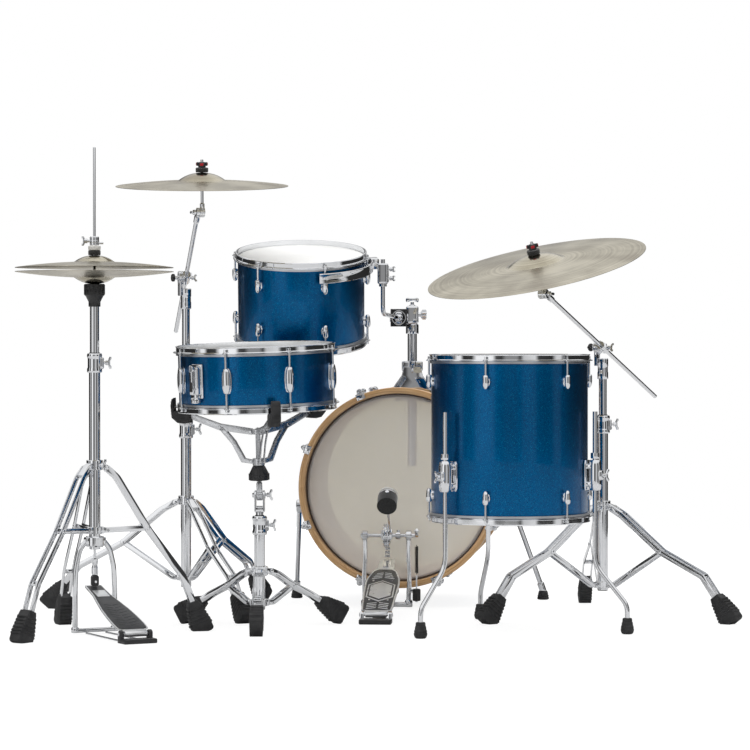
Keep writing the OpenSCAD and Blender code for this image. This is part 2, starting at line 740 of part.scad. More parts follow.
module tripod_feet() {
    color("#222") for (t = tripods) on_floor(t[0]) for (a = t[4]) rotate(a) {
        n = len(t[5]);
        p = t[5][n - 1];
        v = unit(p - t[5][n - 2]);
        side = [-v.y, v.x];
        difference() {
            rotate([90, 0, 0]) translate([0, 0, -boot_w / 2]) linear_extrude(boot_w)
                polygon([p + side * boot_top / 2, p - side * boot_top / 2,
                    p + v * boot_len - side * boot_low / 2, p + v * boot_len + side * boot_low / 2]);
            translate([0, 0, -ground_cut.z]) block(ground_cut);
        }
    }
}

// ---------------------------------------------------------------- stand tubes
// Each boom stand: place, top of the base tube, middle and direction of its cymbal
crash_stand = [crash_at, 466, crash_mid, crash_tilt, crash_roll, 812, 0.872, 1];
ride_stand = [ride_at, 481, ride_mid, ride_tilt, ride_roll, 643, 1.0, -1];
tube_foot_z = 62;
clamp_h = 44;
clamp_d = 34;
clamp_step = 10;

module height_clamp(d_base, d_upper, top) {
    difference() {
        union() {
            translate([0, 0, top - clamp_h]) cylinder(d = clamp_d, h = clamp_h);
            translate([clamp_d / 2 - 2, 0, top - clamp_h / 2]) wing_screw(12, 26);
        }
        translate([0, 0, top - clamp_h - 1]) cylinder(d = d_upper + 2 * run_fit, h = clamp_h + 2);
        translate([0, 0, top - clamp_h - 1])
            cylinder(d = d_base + 2 * run_fit, h = clamp_h + 1 - clamp_step + seat_gap);
    }
}
module base_tube(d_upper, low, top) {
    translate([0, 0, low]) ring(base_tube_d, base_tube_d - 2 * tube_wall, top - low - clamp_step);
    height_clamp(base_tube_d, d_upper, top);
}
module stand_base_tubes() {
    color("silver") {
        on_floor(crash_at) base_tube(upper_tube_d, tube_foot_z, crash_stand[1]);
        on_floor(ride_at) base_tube(upper_tube_d, tube_foot_z, ride_stand[1]);
        on_floor(snare_at) base_tube(snare_upper_d, 44, snare_base_top);
    }
}

// Boom geometry: the tilter's hinge, the boom's azimuth and elevation and its lengths
cymbal_drop = 62;
post_offset = 10;
head_drop = 32;
upper_tube_inside = 200;
clamp_ball_d = 32;
function hinge_at(s) = s[2] + leaned([0, 0, -cymbal_drop], s[3], s[4]);
function flat(s) = [hinge_at(s).x - s[0].x, hinge_at(s).y - s[0].y];
function boom_reach(s) = sqrt(norm(flat(s)) ^ 2 - post_offset ^ 2);
function boom_az(s) = atan2(flat(s).y, flat(s).x) - asin(s[7] * post_offset / norm(flat(s)));
function boom_el(s) = atan2(hinge_at(s).z - s[5], boom_reach(s));
function boom_up(s) = boom_reach(s) / cos(boom_el(s));

// The boom clamp's hinge, with +X towards the cymbal and the hinge along Y
module at_boom_hinge(s) {
    translate([s[0].x, s[0].y, s[5]]) rotate(boom_az(s)) children();
}
module boom_upper_tube(s) {
    low = s[1] - upper_tube_inside;
    color("silver") {
        on_floor(s[0]) translate([0, 0, low])
            ring(upper_tube_d, upper_tube_d - 2 * tube_wall, s[5] - head_drop - low);
        at_boom_hinge(s) {
            translate([0, 0, -head_drop - 40]) ring(upper_tube_d + 7, upper_tube_d, 40);
            translate([0, 0, -head_drop]) cylinder(d = upper_tube_d + 7, h = 6);
            translate([-10, -19, -head_drop - 10]) cube([20, 8, head_drop + 10]);
            translate([0, -11, 0]) rotate([90, 0, 0]) cylinder(d = clamp_ball_d, h = 8);
            translate([0, -19, 0]) rotate([90, 0, 0]) cylinder(d = 8, h = 8);
            translate([0, -11, 0]) rotate([-90, 0, 0]) cylinder(d = 5, h = 4.5);
        }
    }
    color("#222") at_boom_hinge(s) translate([0, -27, 0]) rotate([90, 0, 0]) cylinder(d = 26, h = 9);
}
module boom_clamp(s) {
    color("silver") at_boom_hinge(s) rotate([0, -boom_el(s), 0]) difference() {
        union() {
            rotate([90, 0, 0]) translate([0, 0, 6]) cylinder(d = clamp_ball_d, h = 4.99);
            translate([-17, 0, 0]) rotate([0, 90, 0]) cylinder(d = boom_d + 11, h = 34);
            translate([0, 9, 0]) rotate([0, 0, 90]) wing_screw(7, 20);
        }
        translate([-60, 0, 0]) rotate([0, 90, 0]) cylinder(d = boom_d + 2 * run_fit, h = 120);
        translate([0, -12, 0]) rotate([-90, 0, 0]) cylinder(d = 5 + 2 * run_fit, h = 5.5);
    }
}
tilter_disc = 22;
module boom(s) {
    up = boom_up(s);
    color("silver") at_boom_hinge(s) rotate([0, -boom_el(s), 0]) {
        translate([-s[6] * up, 0, 0]) rotate([0, 90, 0])
            cylinder(d = boom_d, h = (1 + s[6]) * up - tilter_disc / 2 - seat_gap);
        difference() {
            union() {
                translate([up - tilter_disc / 2 - 6, -3.5, -4]) cube([10, 7, 8]);
                translate([up, -4, 0]) rotate([-90, 0, 0]) cylinder(d = tilter_disc, h = 8);
                translate([up - 40, 0, 0]) rotate([0, 90, 0]) cylinder(d = boom_d + 4, h = 24);
            }
            translate([up, -6, 0]) rotate([-90, 0, 0]) cylinder(d = 6 + 2 * run_fit, h = 12);
        }
    }
}
felt_d = 30;
felt_h = 11;
felt_dome = 3;
felt_slack = 0.9;
cymbal_post_d = 7;
cup_d = 26;
sleeve_d = 9;
hole_d = 13;
// Height of a cymbal's top over its edge plane, for each boom cymbal and the hi-hats
bow = 13;
bell_h = 18;
hihat_bell_h = 14;
function cymbal_rise(bell) = bow + bell;
function cymbal_z(r, d, bell_d, bell) =
    bow * (1 - (2 * r / d) ^ 2) + (2 * r < bell_d ? bell * (1 - (2 * r / bell_d) ^ 2.4) : 0);
cymbal_steps = 36;
module cymbal(d, bell_d, bell) {
    r = [for (i = [0 : cymbal_steps]) d / 2 - (d - hole_d) / 2 * i / cymbal_steps];
    rotate_extrude($fn = 128) polygon(concat(
        [for (q = r) [q, cymbal_z(q, d, bell_d, bell) - cymbal_t / 2]],
        [for (i = [cymbal_steps : -1 : 0]) [r[i], cymbal_z(r[i], d, bell_d, bell) + cymbal_t / 2]]));
}
module in_cymbal(s) {
    translate(s[2]) rotate([s[3], -s[4], 0]) children();
}
// The tilter turns on the boom's end; its post carries the felts and the wing nut
module tilter(s) {
    h = hinge_at(s);
    top = cymbal_rise(bell_h) - cymbal_t / 2;
    bore = cymbal_post_d + 2 * run_fit;
    color("silver") {
        at_boom_hinge(s) translate([boom_reach(s), 0, h.z - s[5]]) {
            translate([0, s[7] > 0 ? 4 : -16, 0]) rotate([-90, 0, 0]) cylinder(d = tilter_disc, h = 12);
            translate([0, s[7] > 0 ? -8 : -4, 0]) rotate([-90, 0, 0]) cylinder(d = 6, h = 12);
            translate([0, s[7] > 0 ? -8 : 8, 0]) mirror([0, s[7] > 0 ? 0 : 1, 0])
                rotate([90, 0, 0]) cylinder(d = 12, h = 4);
        }
        in_cymbal(s) {
            translate([0, 0, -cymbal_drop]) cylinder(d = 11, h = 22);
            translate([0, 0, -cymbal_drop])
                cylinder(d = cymbal_post_d, h = cymbal_drop + top + cymbal_t + felt_h + 20);
            translate([0, 0, top - felt_h - 8]) ring(cup_d, bore, 4);
        }
    }
    color("#222") in_cymbal(s) {
        difference() {
            translate([0, 0, top - felt_h - 4 + seat_gap]) ring(felt_d, bore, felt_h - 0.5);
            translate([0, 0, top - felt_dome]) difference() {
                cylinder(d = felt_d + 10, h = 2 * felt_dome);
                cylinder(d1 = felt_d + 1, d2 = cymbal_post_d, h = felt_dome);
            }
        }
        translate([0, 0, top + cymbal_t + felt_slack]) ring(felt_d, bore, felt_h);
        translate([0, 0, top + cymbal_t + felt_h + felt_slack + seat_gap]) {
            ring(18, bore, 13);
            for (m = [0, 1]) mirror([m, 0, 0]) translate([8, -3, 4]) cube([6, 6, 9]);
        }
    }
}
module crash_upper_tube() { boom_upper_tube(crash_stand); }
module crash_boom_clamp() { boom_clamp(crash_stand); }
module crash_boom() { boom(crash_stand); }
module crash_tilter() { tilter(crash_stand); }
module crash_cymbal() {
    color("#d0c6a4") in_cymbal(crash_stand) cymbal(crash_d, crash_d * 0.28, bell_h);
}
module ride_upper_tube() { boom_upper_tube(ride_stand); }
module ride_boom_clamp() { boom_clamp(ride_stand); }
module ride_boom() { boom(ride_stand); }
module ride_tilter() { tilter(ride_stand); }
module ride_cymbal() {
    color("#d0c6a4") in_cymbal(ride_stand) cymbal(ride_d, ride_d * 0.26, bell_h);
}

// ---------------------------------------------------------------- hi-hat
hihat_turn = 28;
hihat_bell_d = 92;
hihat_low_z = 815;
hihat_high_z = hihat_low_z + hihat_gap;
hihat_rise = cymbal_rise(hihat_bell_h);
hihat_tube_d = 21;
hihat_base_top = 632;
hihat_tube_low = 190;
hihat_tube_top = 742;
hihat_tube_inside = 162;
seat_lap = 6;
seat_cone_h = 14;
hihat_rod_top = 1095;
yoke_x = 48;
yoke_d = 12;
hihat_hinge = [-228, 20];
hihat_toe = [8, 101];
hihat_board_t = 5;
hihat_link_z = 108;
// Pedal frame of the hi-hat: -Y points to the heel
module in_hihat_pedal() {
    on_floor(hihat_at) rotate(hihat_turn) children();
}
module hihat_base() {
    color("silver") {
        on_floor(hihat_at) {
            base_tube(hihat_tube_d, hihat_tube_low, hihat_base_top);
        }
        in_hihat_pedal() {
            difference() {
                translate([0, 0, 198]) block([44, 24, 22]);
                translate([0, 0, 190]) cylinder(d = base_tube_d + 2 * run_fit, h = 40);
            }
            for (s = [-1, 1])
                bent_rod([[s * 18, 0, 212], [s * 36, 0, 192], [s * 46, 0, 150], [s * yoke_x, 0, 100],
                    [s * yoke_x, 0, 10]], yoke_d);
            translate([0, 0, 4]) block([2 * yoke_x + yoke_d, 14, 12]);
            for (s = [-1, 1]) translate([s * 24 - 4, hihat_hinge.x + 1 + seat_gap, 1])
                cube([8, -hihat_hinge.x - 8 - 2 * seat_gap, 4]);
        }
    }
    color("#333") in_hihat_pedal() {
        translate([0, hihat_hinge.x - 16, 0]) block([78, 34, 11]);
        for (s = [-1, 1]) difference() {
            translate([s * 34, hihat_hinge.x, 0]) union() {
                block([10, 16, hihat_hinge.y]);
                translate([-5, 0, hihat_hinge.y]) rotate([0, 90, 0]) cylinder(d = 16, h = 10);
            }
            translate([s * 34 - 8, hihat_hinge.x, hihat_hinge.y]) rotate([0, 90, 0])
                cylinder(d = 6 + 2 * run_fit, h = 16);
        }
    }
}
// A footboard of half widths w at lengths l, on a hinge at the origin, sloping up along +Y
module footboard(w, l, t, slope) {
    rotate([slope, 0, 0]) translate([0, 0, 2]) linear_extrude(t) polygon(concat(
        [for (i = [0 : len(l) - 1]) [w[i], l[i]]], [for (i = [len(l) - 1 : -1 : 0]) [-w[i], l[i]]]));
}
module hihat_footboard() {
    span = hihat_toe - hihat_hinge;
    slope = atan2(span.y, span.x);
    color("#333") in_hihat_pedal() translate([0, hihat_hinge.x, hihat_hinge.y]) {
        rotate([0, 90, 0]) translate([0, 0, -39]) cylinder(d = 6, h = 78);
        rotate([0, 90, 0]) translate([0, 0, -26.5]) cylinder(d = 14, h = 53);
        footboard([28, 28, 37, 38, 34, 27, 22, 21], [2, 11, 16, 70, 120, 170, 200, norm(span) + 8],
            hihat_board_t, slope);
    }
}
module hihat_upper_tube() {
    low = hihat_base_top - hihat_tube_inside;
    color("silver") on_floor(hihat_at) translate([0, 0, low])
        ring(hihat_tube_d, hihat_tube_d - 2 * tube_wall, hihat_tube_top - low);
}
module hihat_seat() {
    top = hihat_low_z - hihat_rise - cymbal_t / 2 - seat_gap;
    cone_z = hihat_tube_top + seat_lap;
    color("#1a1a1a") on_floor(hihat_at) difference() {
        union() {
            translate([0, 0, hihat_tube_top - seat_lap]) cylinder(d = 27, h = 2 * seat_lap);
            translate([0, 0, cone_z]) cylinder(d1 = 27, d2 = 42, h = seat_cone_h);
            translate([0, 0, cone_z + seat_cone_h]) cylinder(d = 46, h = top - cone_z - seat_cone_h);
            cylinder(d = sleeve_d, h = top + 10);
        }
        translate([0, 0, -1]) cylinder(d = hihat_tube_d - 0.01, h = hihat_tube_top + 1);
        cylinder(d = pull_rod_d + free_gap, h = hihat_rod_top);
    }
}
module hihat_bottom_cymbal() {
    color("#d0c6a4") on_floor(hihat_at) translate([0, 0, hihat_low_z]) mirror([0, 0, 1])
        cymbal(hihat_d, hihat_bell_d, hihat_bell_h);
}
module hihat_pull_rod() {
    on_floor(hihat_at) {
        color("silver") {
            translate([0, 0, hihat_link_z + 60])
                cylinder(d = pull_rod_d, h = hihat_rod_top - hihat_link_z - 60);
            translate([0, 0, hihat_link_z + 24]) cylinder(d = 14, h = 38);
        }
        color("#222") translate([0, 0, hihat_link_z]) rotate(hihat_turn) block([17, 12, 25]);
    }
}
clutch_top = 894;
felt_drop = 1.6;
module hihat_clutch() {
    under = hihat_high_z + hihat_rise - cymbal_t / 2;
    over = under + cymbal_t;
    bore = pull_rod_d + 2 * run_fit;
    sleeve = 10.8;
    felt_bore = sleeve + 2 * run_fit;
    white_z = over + 11 + 2 * seat_gap;
    body_z = clutch_top - 20;
    on_floor(hihat_at) {
        color("silver") {
            translate([0, 0, under - 13]) ring(24, bore, 9);
            translate([0, 0, under - 13]) ring(sleeve, bore, clutch_top - under + 5);
            translate([0, 0, body_z]) ring(21, bore, 20);
            difference() {
                translate([-9, 0, clutch_top - 10]) rotate([0, 0, 180]) wing_screw(9, 20);
                cylinder(d = bore, h = clutch_top + 10);
            }
        }
        color("#eee") translate([0, 0, under - 3 - seat_gap]) ring(28, felt_bore, 3 - felt_drop);
        color("#222") translate([0, 0, over + seat_gap]) ring(28, felt_bore, 11);
        color("#eee") translate([0, 0, white_z]) ring(28, felt_bore, body_z - white_z - seat_gap);
    }
}
module hihat_top_cymbal() {
    color("#d0c6a4") on_floor(hihat_at) translate([0, 0, hihat_high_z])
        cymbal(hihat_d, hihat_bell_d, hihat_bell_h);
}

// ---------------------------------------------------------------- bass pedal
pedal_shaft_z = 180;
pedal_post_x = 54;
pedal_post_w = 12;
pedal_bearing_d = 26;
cam_r = 30;
cam_w = 16;
pedal_hinge = [-380, 20];
pedal_toe = [36, 113];
pedal_board_t = 6;
beater_reach = 185;
beater_lean = 59;
beater_d = 48;
beater_len = 52;
chain_t = 6;
chain_pitch = 9.5;
lever_x = 74;
lever_arm = 17;
spring_d = 9;
spring_low = 84;
jaw_w = 24;
jaw_t = 5;
// Pedal frame: the origin is on the floor under the shaft and +Y points to the drum
module in_pedal() {
    translate([pedal_at.x, pedal_at.y, 0]) rotate(-pedal_yaw) children();
}
module on_shaft() {
    in_pedal() translate([0, 0, pedal_shaft_z]) children();
}
module pedal_frame() {
    jaw_low = bass_z - bass_hoop_r - seat_gap;
    jaw_side = bass_at.x - pedal_at.x + jaw_w / 2;
    jaw_high = bass_z - sqrt(bass_hoop_in ^ 2 - jaw_side ^ 2) + seat_gap;
    color("silver") in_pedal() {
        for (s = [-1, 1]) difference() {
            union() {
                bent_rod([[s * pedal_post_x, 0, 12], [s * pedal_post_x, 0, 30], [s * (pedal_post_x + 2), 4, 76],
                    [s * (pedal_post_x - 1), 0, 130], [s * pedal_post_x, 0, pedal_shaft_z]], pedal_post_w);
                translate([s * pedal_post_x - 7, 0, pedal_shaft_z]) rotate([0, 90, 0])
                    cylinder(d = pedal_bearing_d, h = 14);
            }
            translate([-100, 0, pedal_shaft_z]) rotate([0, 90, 0])
                cylinder(d = pedal_shaft_d + 2 * run_fit, h = 200);
        }
        translate([0, 0, 4 + seat_gap]) block([2 * pedal_post_x + 16, 16, 12]);
        translate([pedal_post_x, -4 - lever_arm / 2, 40]) cube([lever_x - pedal_post_x + 3, 8, 10]);
        translate([lever_x, -lever_arm / sqrt(2), 45]) cylinder(d = 4, h = spring_low - 45);
    }
    color("#222") in_pedal() {
        translate([-15, pedal_hinge.x - 8, 0]) cube([30, 60 - pedal_hinge.x, 4]);
        translate([0, pedal_hinge.x - 42, 0]) block([76, 72, 12]);
        for (s = [-1, 1]) difference() {
            translate([s * 33, pedal_hinge.x, 0]) {
                block([10, 16, pedal_hinge.y]);
                translate([-5, 0, pedal_hinge.y]) rotate([0, 90, 0]) cylinder(d = 16, h = 10);
            }
            translate([s * 33 - 8, pedal_hinge.x, pedal_hinge.y]) rotate([0, 90, 0])
                cylinder(d = 6 + 2 * run_fit, h = 16);
        }
        translate([0, 26, 3]) block([28, 14, jaw_high + jaw_t - 3]);
        translate([-26, 20, jaw_low - 12]) cube([52, 42, 12]);
        translate([-jaw_w / 2, 20, jaw_high]) cube([jaw_w, 34, jaw_t]);
        translate([lever_x, -lever_arm / sqrt(2), 20]) cylinder(d = 19, h = 32);
    }
}
module pedal_footboard() {
    span = pedal_toe - pedal_hinge;
    slope = atan2(span.y, span.x);
    color("#333") in_pedal() translate([0, pedal_hinge.x, pedal_hinge.y]) {
        rotate([0, 90, 0]) translate([0, 0, -38]) cylinder(d = 6, h = 76);
        rotate([0, 90, 0]) translate([0, 0, -25.5]) cylinder(d = 14, h = 51);
        footboard([27, 27, 37, 38, 42, 41, 30, 20, 19], [2, 12, 17, 90, 190, 260, 320, 350, norm(span) + 2],
            pedal_board_t, slope);
    }
}
// Shaft, cam, beater and spring lever turn as one
module pedal_beater() {
    head = [12, -beater_reach * sin(beater_lean), beater_reach * cos(beater_lean)];
    root = [8, 0, 0];
    color("silver") on_shaft() {
        translate([-pedal_post_x - 10, 0, 0]) rotate([0, 90, 0])
            cylinder(d = pedal_shaft_d, h = pedal_post_x + 10 + lever_x + 4);
        translate([-cam_w / 2, 0, 0]) rotate([0, 90, 0]) cylinder(r = cam_r, h = cam_w);
        translate([-14, -14, -12]) cube([28, 24, 28]);
        rod(root + 10 * unit(head - root), head + 20 * unit(head - root), 6);
        rotate([-45, 0, 0]) translate([lever_x - 4, -lever_arm - 4, -5]) cube([8, lever_arm + 4, 10]);
    }
    color("#222") on_shaft() translate(head) rotate([90 - beater_lean, 0, 0]) rotate([90, 0, 0])
        cylinder(d = beater_d, h = beater_len, center = true);
}
module pedal_chain() {
    toe_top = pedal_toe.y + pedal_board_t + 3;
    links = floor((pedal_shaft_z - toe_top) / chain_pitch);
    color("silver") in_pedal() translate([0, cam_r + seat_gap + chain_t / 2, toe_top]) {
        for (m = [0, 1]) mirror([m, 0, 0]) translate([3.2, -chain_t / 2 + 0.5, 0])
            cube([1.8, chain_t - 1, links * chain_pitch]);
        for (i = [0 : links - 1]) translate([-6, 0, (i + 0.5) * chain_pitch]) rotate([0, 90, 0])
            cylinder(d = chain_t, h = 12);
    }
}
module pedal_spring() {
    top = pedal_shaft_z - lever_arm / sqrt(2) - 10;
    color("#333") in_pedal() translate([lever_x, -lever_arm / sqrt(2), spring_low])
        cylinder(d = spring_d, h = top - spring_low);
}

bass_shell();
bass_batter_head();
bass_resonant_head();
bass_hoops();
bass_lugs();
bass_brackets();
spur_left();
spur_right();
tom_post();
tom_arm();
tom_shell();
tom_heads();
tom_hoops();
tom_lugs();
tom_suspension();
snare_stand_upper();
snare_basket();
snare_shell();
snare_heads();
snare_hoops();
snare_lugs();
snare_wires();
snare_strainer();
strainer_lever();
floor_tom_shell();
floor_tom_heads();
floor_tom_hoops();
floor_tom_lugs();
floor_tom_brackets();
floor_tom_leg_left();
floor_tom_leg_right();
floor_tom_leg_rear();
pedal_frame();
pedal_footboard();
pedal_beater();
pedal_chain();
pedal_spring();
hihat_base();
hihat_footboard();
hihat_upper_tube();
hihat_seat();
hihat_bottom_cymbal();
hihat_pull_rod();
hihat_clutch();
hihat_top_cymbal();
stand_base_tubes();
tripod_legs();
tripod_braces();
tripod_collars();
tripod_feet();
crash_upper_tube();
crash_boom_clamp();
crash_boom();
crash_tilter();
crash_cymbal();
ride_upper_tube();
ride_boom_clamp();
ride_boom();
ride_tilter();
ride_cymbal();
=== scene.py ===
from math import acos, asin, atan2, cos, degrees, hypot, pi, radians, sin, sqrt

import bmesh
import bpy
from mathutils import Matrix, Vector


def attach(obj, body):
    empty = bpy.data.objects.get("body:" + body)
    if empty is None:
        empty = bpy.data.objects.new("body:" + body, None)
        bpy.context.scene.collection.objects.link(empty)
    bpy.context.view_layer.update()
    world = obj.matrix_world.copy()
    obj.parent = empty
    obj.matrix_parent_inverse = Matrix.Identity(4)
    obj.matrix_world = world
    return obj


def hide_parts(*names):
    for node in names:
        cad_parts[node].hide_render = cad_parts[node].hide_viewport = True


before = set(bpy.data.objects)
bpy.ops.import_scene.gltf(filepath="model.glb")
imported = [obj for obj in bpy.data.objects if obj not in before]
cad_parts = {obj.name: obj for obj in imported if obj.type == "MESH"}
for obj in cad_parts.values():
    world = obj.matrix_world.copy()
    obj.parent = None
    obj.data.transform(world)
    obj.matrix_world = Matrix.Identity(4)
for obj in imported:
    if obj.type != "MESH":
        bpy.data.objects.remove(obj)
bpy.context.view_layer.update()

# Its polished parts mirror a dark room with bright panels and a bright ceiling; four soft
# lamps light it from above and around.
def feed(node, inputs):
    for socket, value in dict(inputs).items():
        if isinstance(value, bpy.types.NodeSocket):
            node.id_data.links.new(value, node.inputs[socket])
        else:
            node.inputs[socket].default_value = value


# One shader node: its inputs are numbers, colours or the outputs of other nodes
def new_node(tree, kind, inputs=(), **choices):
    node = tree.nodes.new("ShaderNode" + kind)
    for choice, value in choices.items():
        setattr(node, choice, value)
    feed(node, inputs)
    return node


# Each stop of a ramp has a place from 0 to 1 and either a grey tone or a colour
def ramp(tree, source, stops):
    node = new_node(tree, "ValToRGB", {"Fac": source})
    while len(node.color_ramp.elements) < len(stops):
        node.color_ramp.elements.new(0.5)
    for element, (place, tone) in zip(node.color_ramp.elements, stops):
        element.position = place
    for element, (place, tone) in zip(node.color_ramp.elements, stops):
        element.color = (*tone, 1) if isinstance(tone, tuple) else (tone, tone, tone, 1)
    return node.outputs["Color"]


def coated(name, color, roughness, metallic=0.0, more=()):
    material = bpy.data.materials.new(name)
    material.use_nodes = True
    tree = material.node_tree
    shader = tree.nodes["Principled BSDF"]
    feed(shader, {"Base Color": (*color, 1), "Roughness": roughness, "Metallic": metallic, **dict(more)})
    return material, tree, shader


scene = bpy.context.scene
scene.view_settings.view_transform = "Standard"

camera_data = bpy.data.cameras.new("camera")
camera_data.lens = 144
camera_data.sensor_width = 36
camera_data.clip_end = 60
camera = bpy.data.objects.new("camera", camera_data)
camera.location = (-0.015, -7.175, 0.668)
camera.rotation_euler = (radians(90 - 0.726), 0, 0)
scene.collection.objects.link(camera)
scene.camera = camera

floor_mesh = bpy.data.meshes.new("studio_floor")
floor_bm = bmesh.new()
bmesh.ops.create_circle(floor_bm, cap_ends=True, segments=64, radius=3.4)
floor_bm.to_mesh(floor_mesh)
floor_bm.free()
studio_floor = bpy.data.objects.new("studio_floor", floor_mesh)
studio_floor.location.z = -0.0005
scene.collection.objects.link(studio_floor)

# Towards its rim the floor glows for the camera alone, so that it runs out into the white
floor_paint, tree, paint = coated("pale_floor", (0.6, 0.6, 0.6), 0.75, more={"Specular IOR Level": 0.2})
spot = new_node(tree, "TexCoord").outputs["Object"]
away = new_node(tree, "VectorMath", {0: spot}, operation="LENGTH").outputs["Value"]
fade = new_node(tree, "MapRange", {"Value": away, "From Min": 0.9, "From Max": 2.6, "To Min": 0.68,
    "To Max": 1.0})
seen = new_node(tree, "LightPath").outputs["Is Camera Ray"]
share = new_node(tree, "Math", {0: seen, 1: fade.outputs["Result"]}, operation="MULTIPLY")
glow = new_node(tree, "Emission", {"Color": (1, 1, 1, 1), "Strength": 1.28})
faded = new_node(tree, "MixShader", {"Fac": share.outputs[0], 1: paint.outputs[0], 2: glow.outputs[0]})
feed(tree.nodes["Material Output"], {"Surface": faded.outputs[0]})
floor_mesh.materials.append(floor_paint)

# The room that is mirrored: tones round the walls, then a height ramp that mixes in white
world = bpy.data.worlds.new("studio")
world.use_nodes = True
scene.world = world
tree = world.node_tree
tree.nodes.clear()
look = new_node(tree, "TexCoord").outputs["Generated"]
around = new_node(tree, "TexGradient", {"Vector": look}, gradient_type="RADIAL")
walls = ramp(tree, around.outputs["Fac"], [(0.0, 0.03), (0.02, 0.9), (0.035, 0.9), (0.05, 0.03),
    (0.09, 0.05), (0.11, 1.0), (0.175, 1.0), (0.19, 0.08), (0.212, 0.05), (0.23, 0.28), (0.272, 0.28),
    (0.286, 0.05), (0.3, 0.6), (0.345, 0.75), (0.36, 0.05), (0.42, 0.03), (0.44, 0.7), (0.46, 0.7),
    (0.475, 0.03), (0.7, 0.02), (0.73, 0.5), (0.77, 0.5), (0.8, 0.02), (0.99, 0.03)])
split = new_node(tree, "SeparateXYZ", {0: look})
level = new_node(tree, "Math", {0: split.outputs["Z"], 1: 0.5, 2: 0.5}, operation="MULTIPLY_ADD")
height = ramp(tree, level.outputs[0], [(0.0, 0.22), (0.34, 0.22), (0.39, 0.0), (0.68, 0.0), (0.74, 0.85),
    (1.0, 1.0)])
room = new_node(tree, "Mix", data_type="RGBA")
feed(room, {"Factor": height, "A": walls, "B": (0.95, 0.95, 0.95, 1)})
room_light = new_node(tree, "Background", {"Color": room.outputs["Result"], "Strength": 1.05})
white = new_node(tree, "Background", {"Color": (1, 1, 1, 1)})
rays = new_node(tree, "LightPath")
seen = new_node(tree, "Math", {0: rays.outputs["Is Camera Ray"], 1: rays.outputs["Is Transmission Ray"]},
    operation="MAXIMUM")
pick = new_node(tree, "MixShader", {"Fac": seen.outputs[0], 1: room_light.outputs[0], 2: white.outputs[0]})
new_node(tree, "OutputWorld", {"Surface": pick.outputs[0]})

for name, place, aim, size, power in (
        ("overhead", (0, -0.6, 3.4), (0, 0, 0.4), 3.2, 56),
        ("front_left", (-3.4, -3.6, 2.2), (-0.2, 0, 0.6), 1.8, 31),
        ("front_right", (3.2, -3.8, 1.9), (0.2, 0, 0.6), 1.6, 25),
        ("back", (0.4, 3.6, 2.4), (0, 0, 0.6), 2.4, 30)):
    lamp = bpy.data.lights.new(name, "AREA")
    lamp.shape = "RECTANGLE"
    lamp.size = size
    lamp.size_y = size * 0.7
    lamp.energy = power
    lamp_object = bpy.data.objects.new(name, lamp)
    lamp_object.location = place
    lamp_object.visible_glossy = False
    lamp_object.rotation_euler = (Vector(aim) - Vector(place)).to_track_quat("-Z", "Y").to_euler()
    scene.collection.objects.link(lamp_object)

# ---------------------------------------------------------------- bass drum
# A maple-ply shell under sparkle lacquer lies on its side. Two maple hoops, pulled in by
# claws and long rods, hold a clear batter head and a cream front head.
MM = Matrix.Scale(0.001, 4)
MIRRORED = Matrix.Scale(-1, 4, (0, 0, 1))


def turn(axis, angle):
    return Matrix.Rotation(radians(angle), 4, axis)


def shift(x, y, z):
    return Matrix.Translation((x, y, z))


def lift(z):
    return shift(0, 0, z)


# A part's own Z axis laid along X, or its own Y axis stood up
along_x, upright = turn("Y", 90), turn("X", 90)


# Every piece is shaped in millimetres, from parts that are cleaned and then set in place
def set_in(whole, part, place=Matrix(), finish=0):
    bmesh.ops.remove_doubles(part, verts=part.verts, dist=1e-3)
    bmesh.ops.recalc_face_normals(part, faces=part.faces)
    for face in part.faces:
        face.material_index = finish
    shape = bpy.data.meshes.new("part")
    part.to_mesh(shape)
    part.free()
    shape.transform(place)
    if place.determinant() < 0:
        shape.flip_normals()
    whole.from_mesh(shape)
    bpy.data.meshes.remove(shape)


def repeat(whole, part, places):
    shape = bpy.data.meshes.new("part")
    part.to_mesh(shape)
    part.free()
    for place in places:
        copy = shape.copy()
        copy.transform(place)
        if place.determinant() < 0:
            copy.flip_normals()
        whole.from_mesh(copy)
        bpy.data.meshes.remove(copy)
    bpy.data.meshes.remove(shape)


# An outline turned round the Z axis; one that begins or ends on the axis is left open
def turned(outline, steps):
    part = bmesh.new()
    points = [part.verts.new((r, 0, z)) for r, z in outline]
    ends = points[1:] + (points[:1] if outline[0][0] * outline[-1][0] > 0 else [])
    edges = [part.edges.new(pair) for pair in zip(points, ends)]
    bmesh.ops.spin(part, geom=points + edges, cent=(0, 0, 0), axis=(0, 0, 1), angle=2 * pi, steps=steps,
        use_merge=True)
    return part


def lathe(whole, outline, steps, place=Matrix(), finish=0):
    set_in(whole, turned(outline, steps), place, finish)


def rod(whole, radius, length, steps, place=Matrix(), finish=0, top=None, edge=0.4):
    set_in(whole, round_bar(radius, length, steps, top, edge), place, finish)


def brick(whole, x, y, z, edge, place=Matrix(), finish=0, bevels=2):
    set_in(whole, block(x, y, z, edge, bevels), place, finish)


def slab(whole, outline, thickness, edge, place=Matrix(), finish=0):
    set_in(whole, plate(outline, thickness, edge), place, finish)


# Copies of one part at even angles round an axis
def ring_of(whole, part, count, r, z, place, finish=0):
    one = bmesh.new()
    set_in(one, part, finish=finish)
    repeat(whole, one, [place @ turn("Z", 360 / count * i) @ shift(r, 0, z) for i in range(count)])


def round_bar(radius, length, steps=24, top=None, edge=0.4):
    top = radius if top is None else top
    return turned([(0, 0), (radius - edge, 0), (radius, edge), (top, length - edge), (top - edge, length),
        (0, length)], steps)


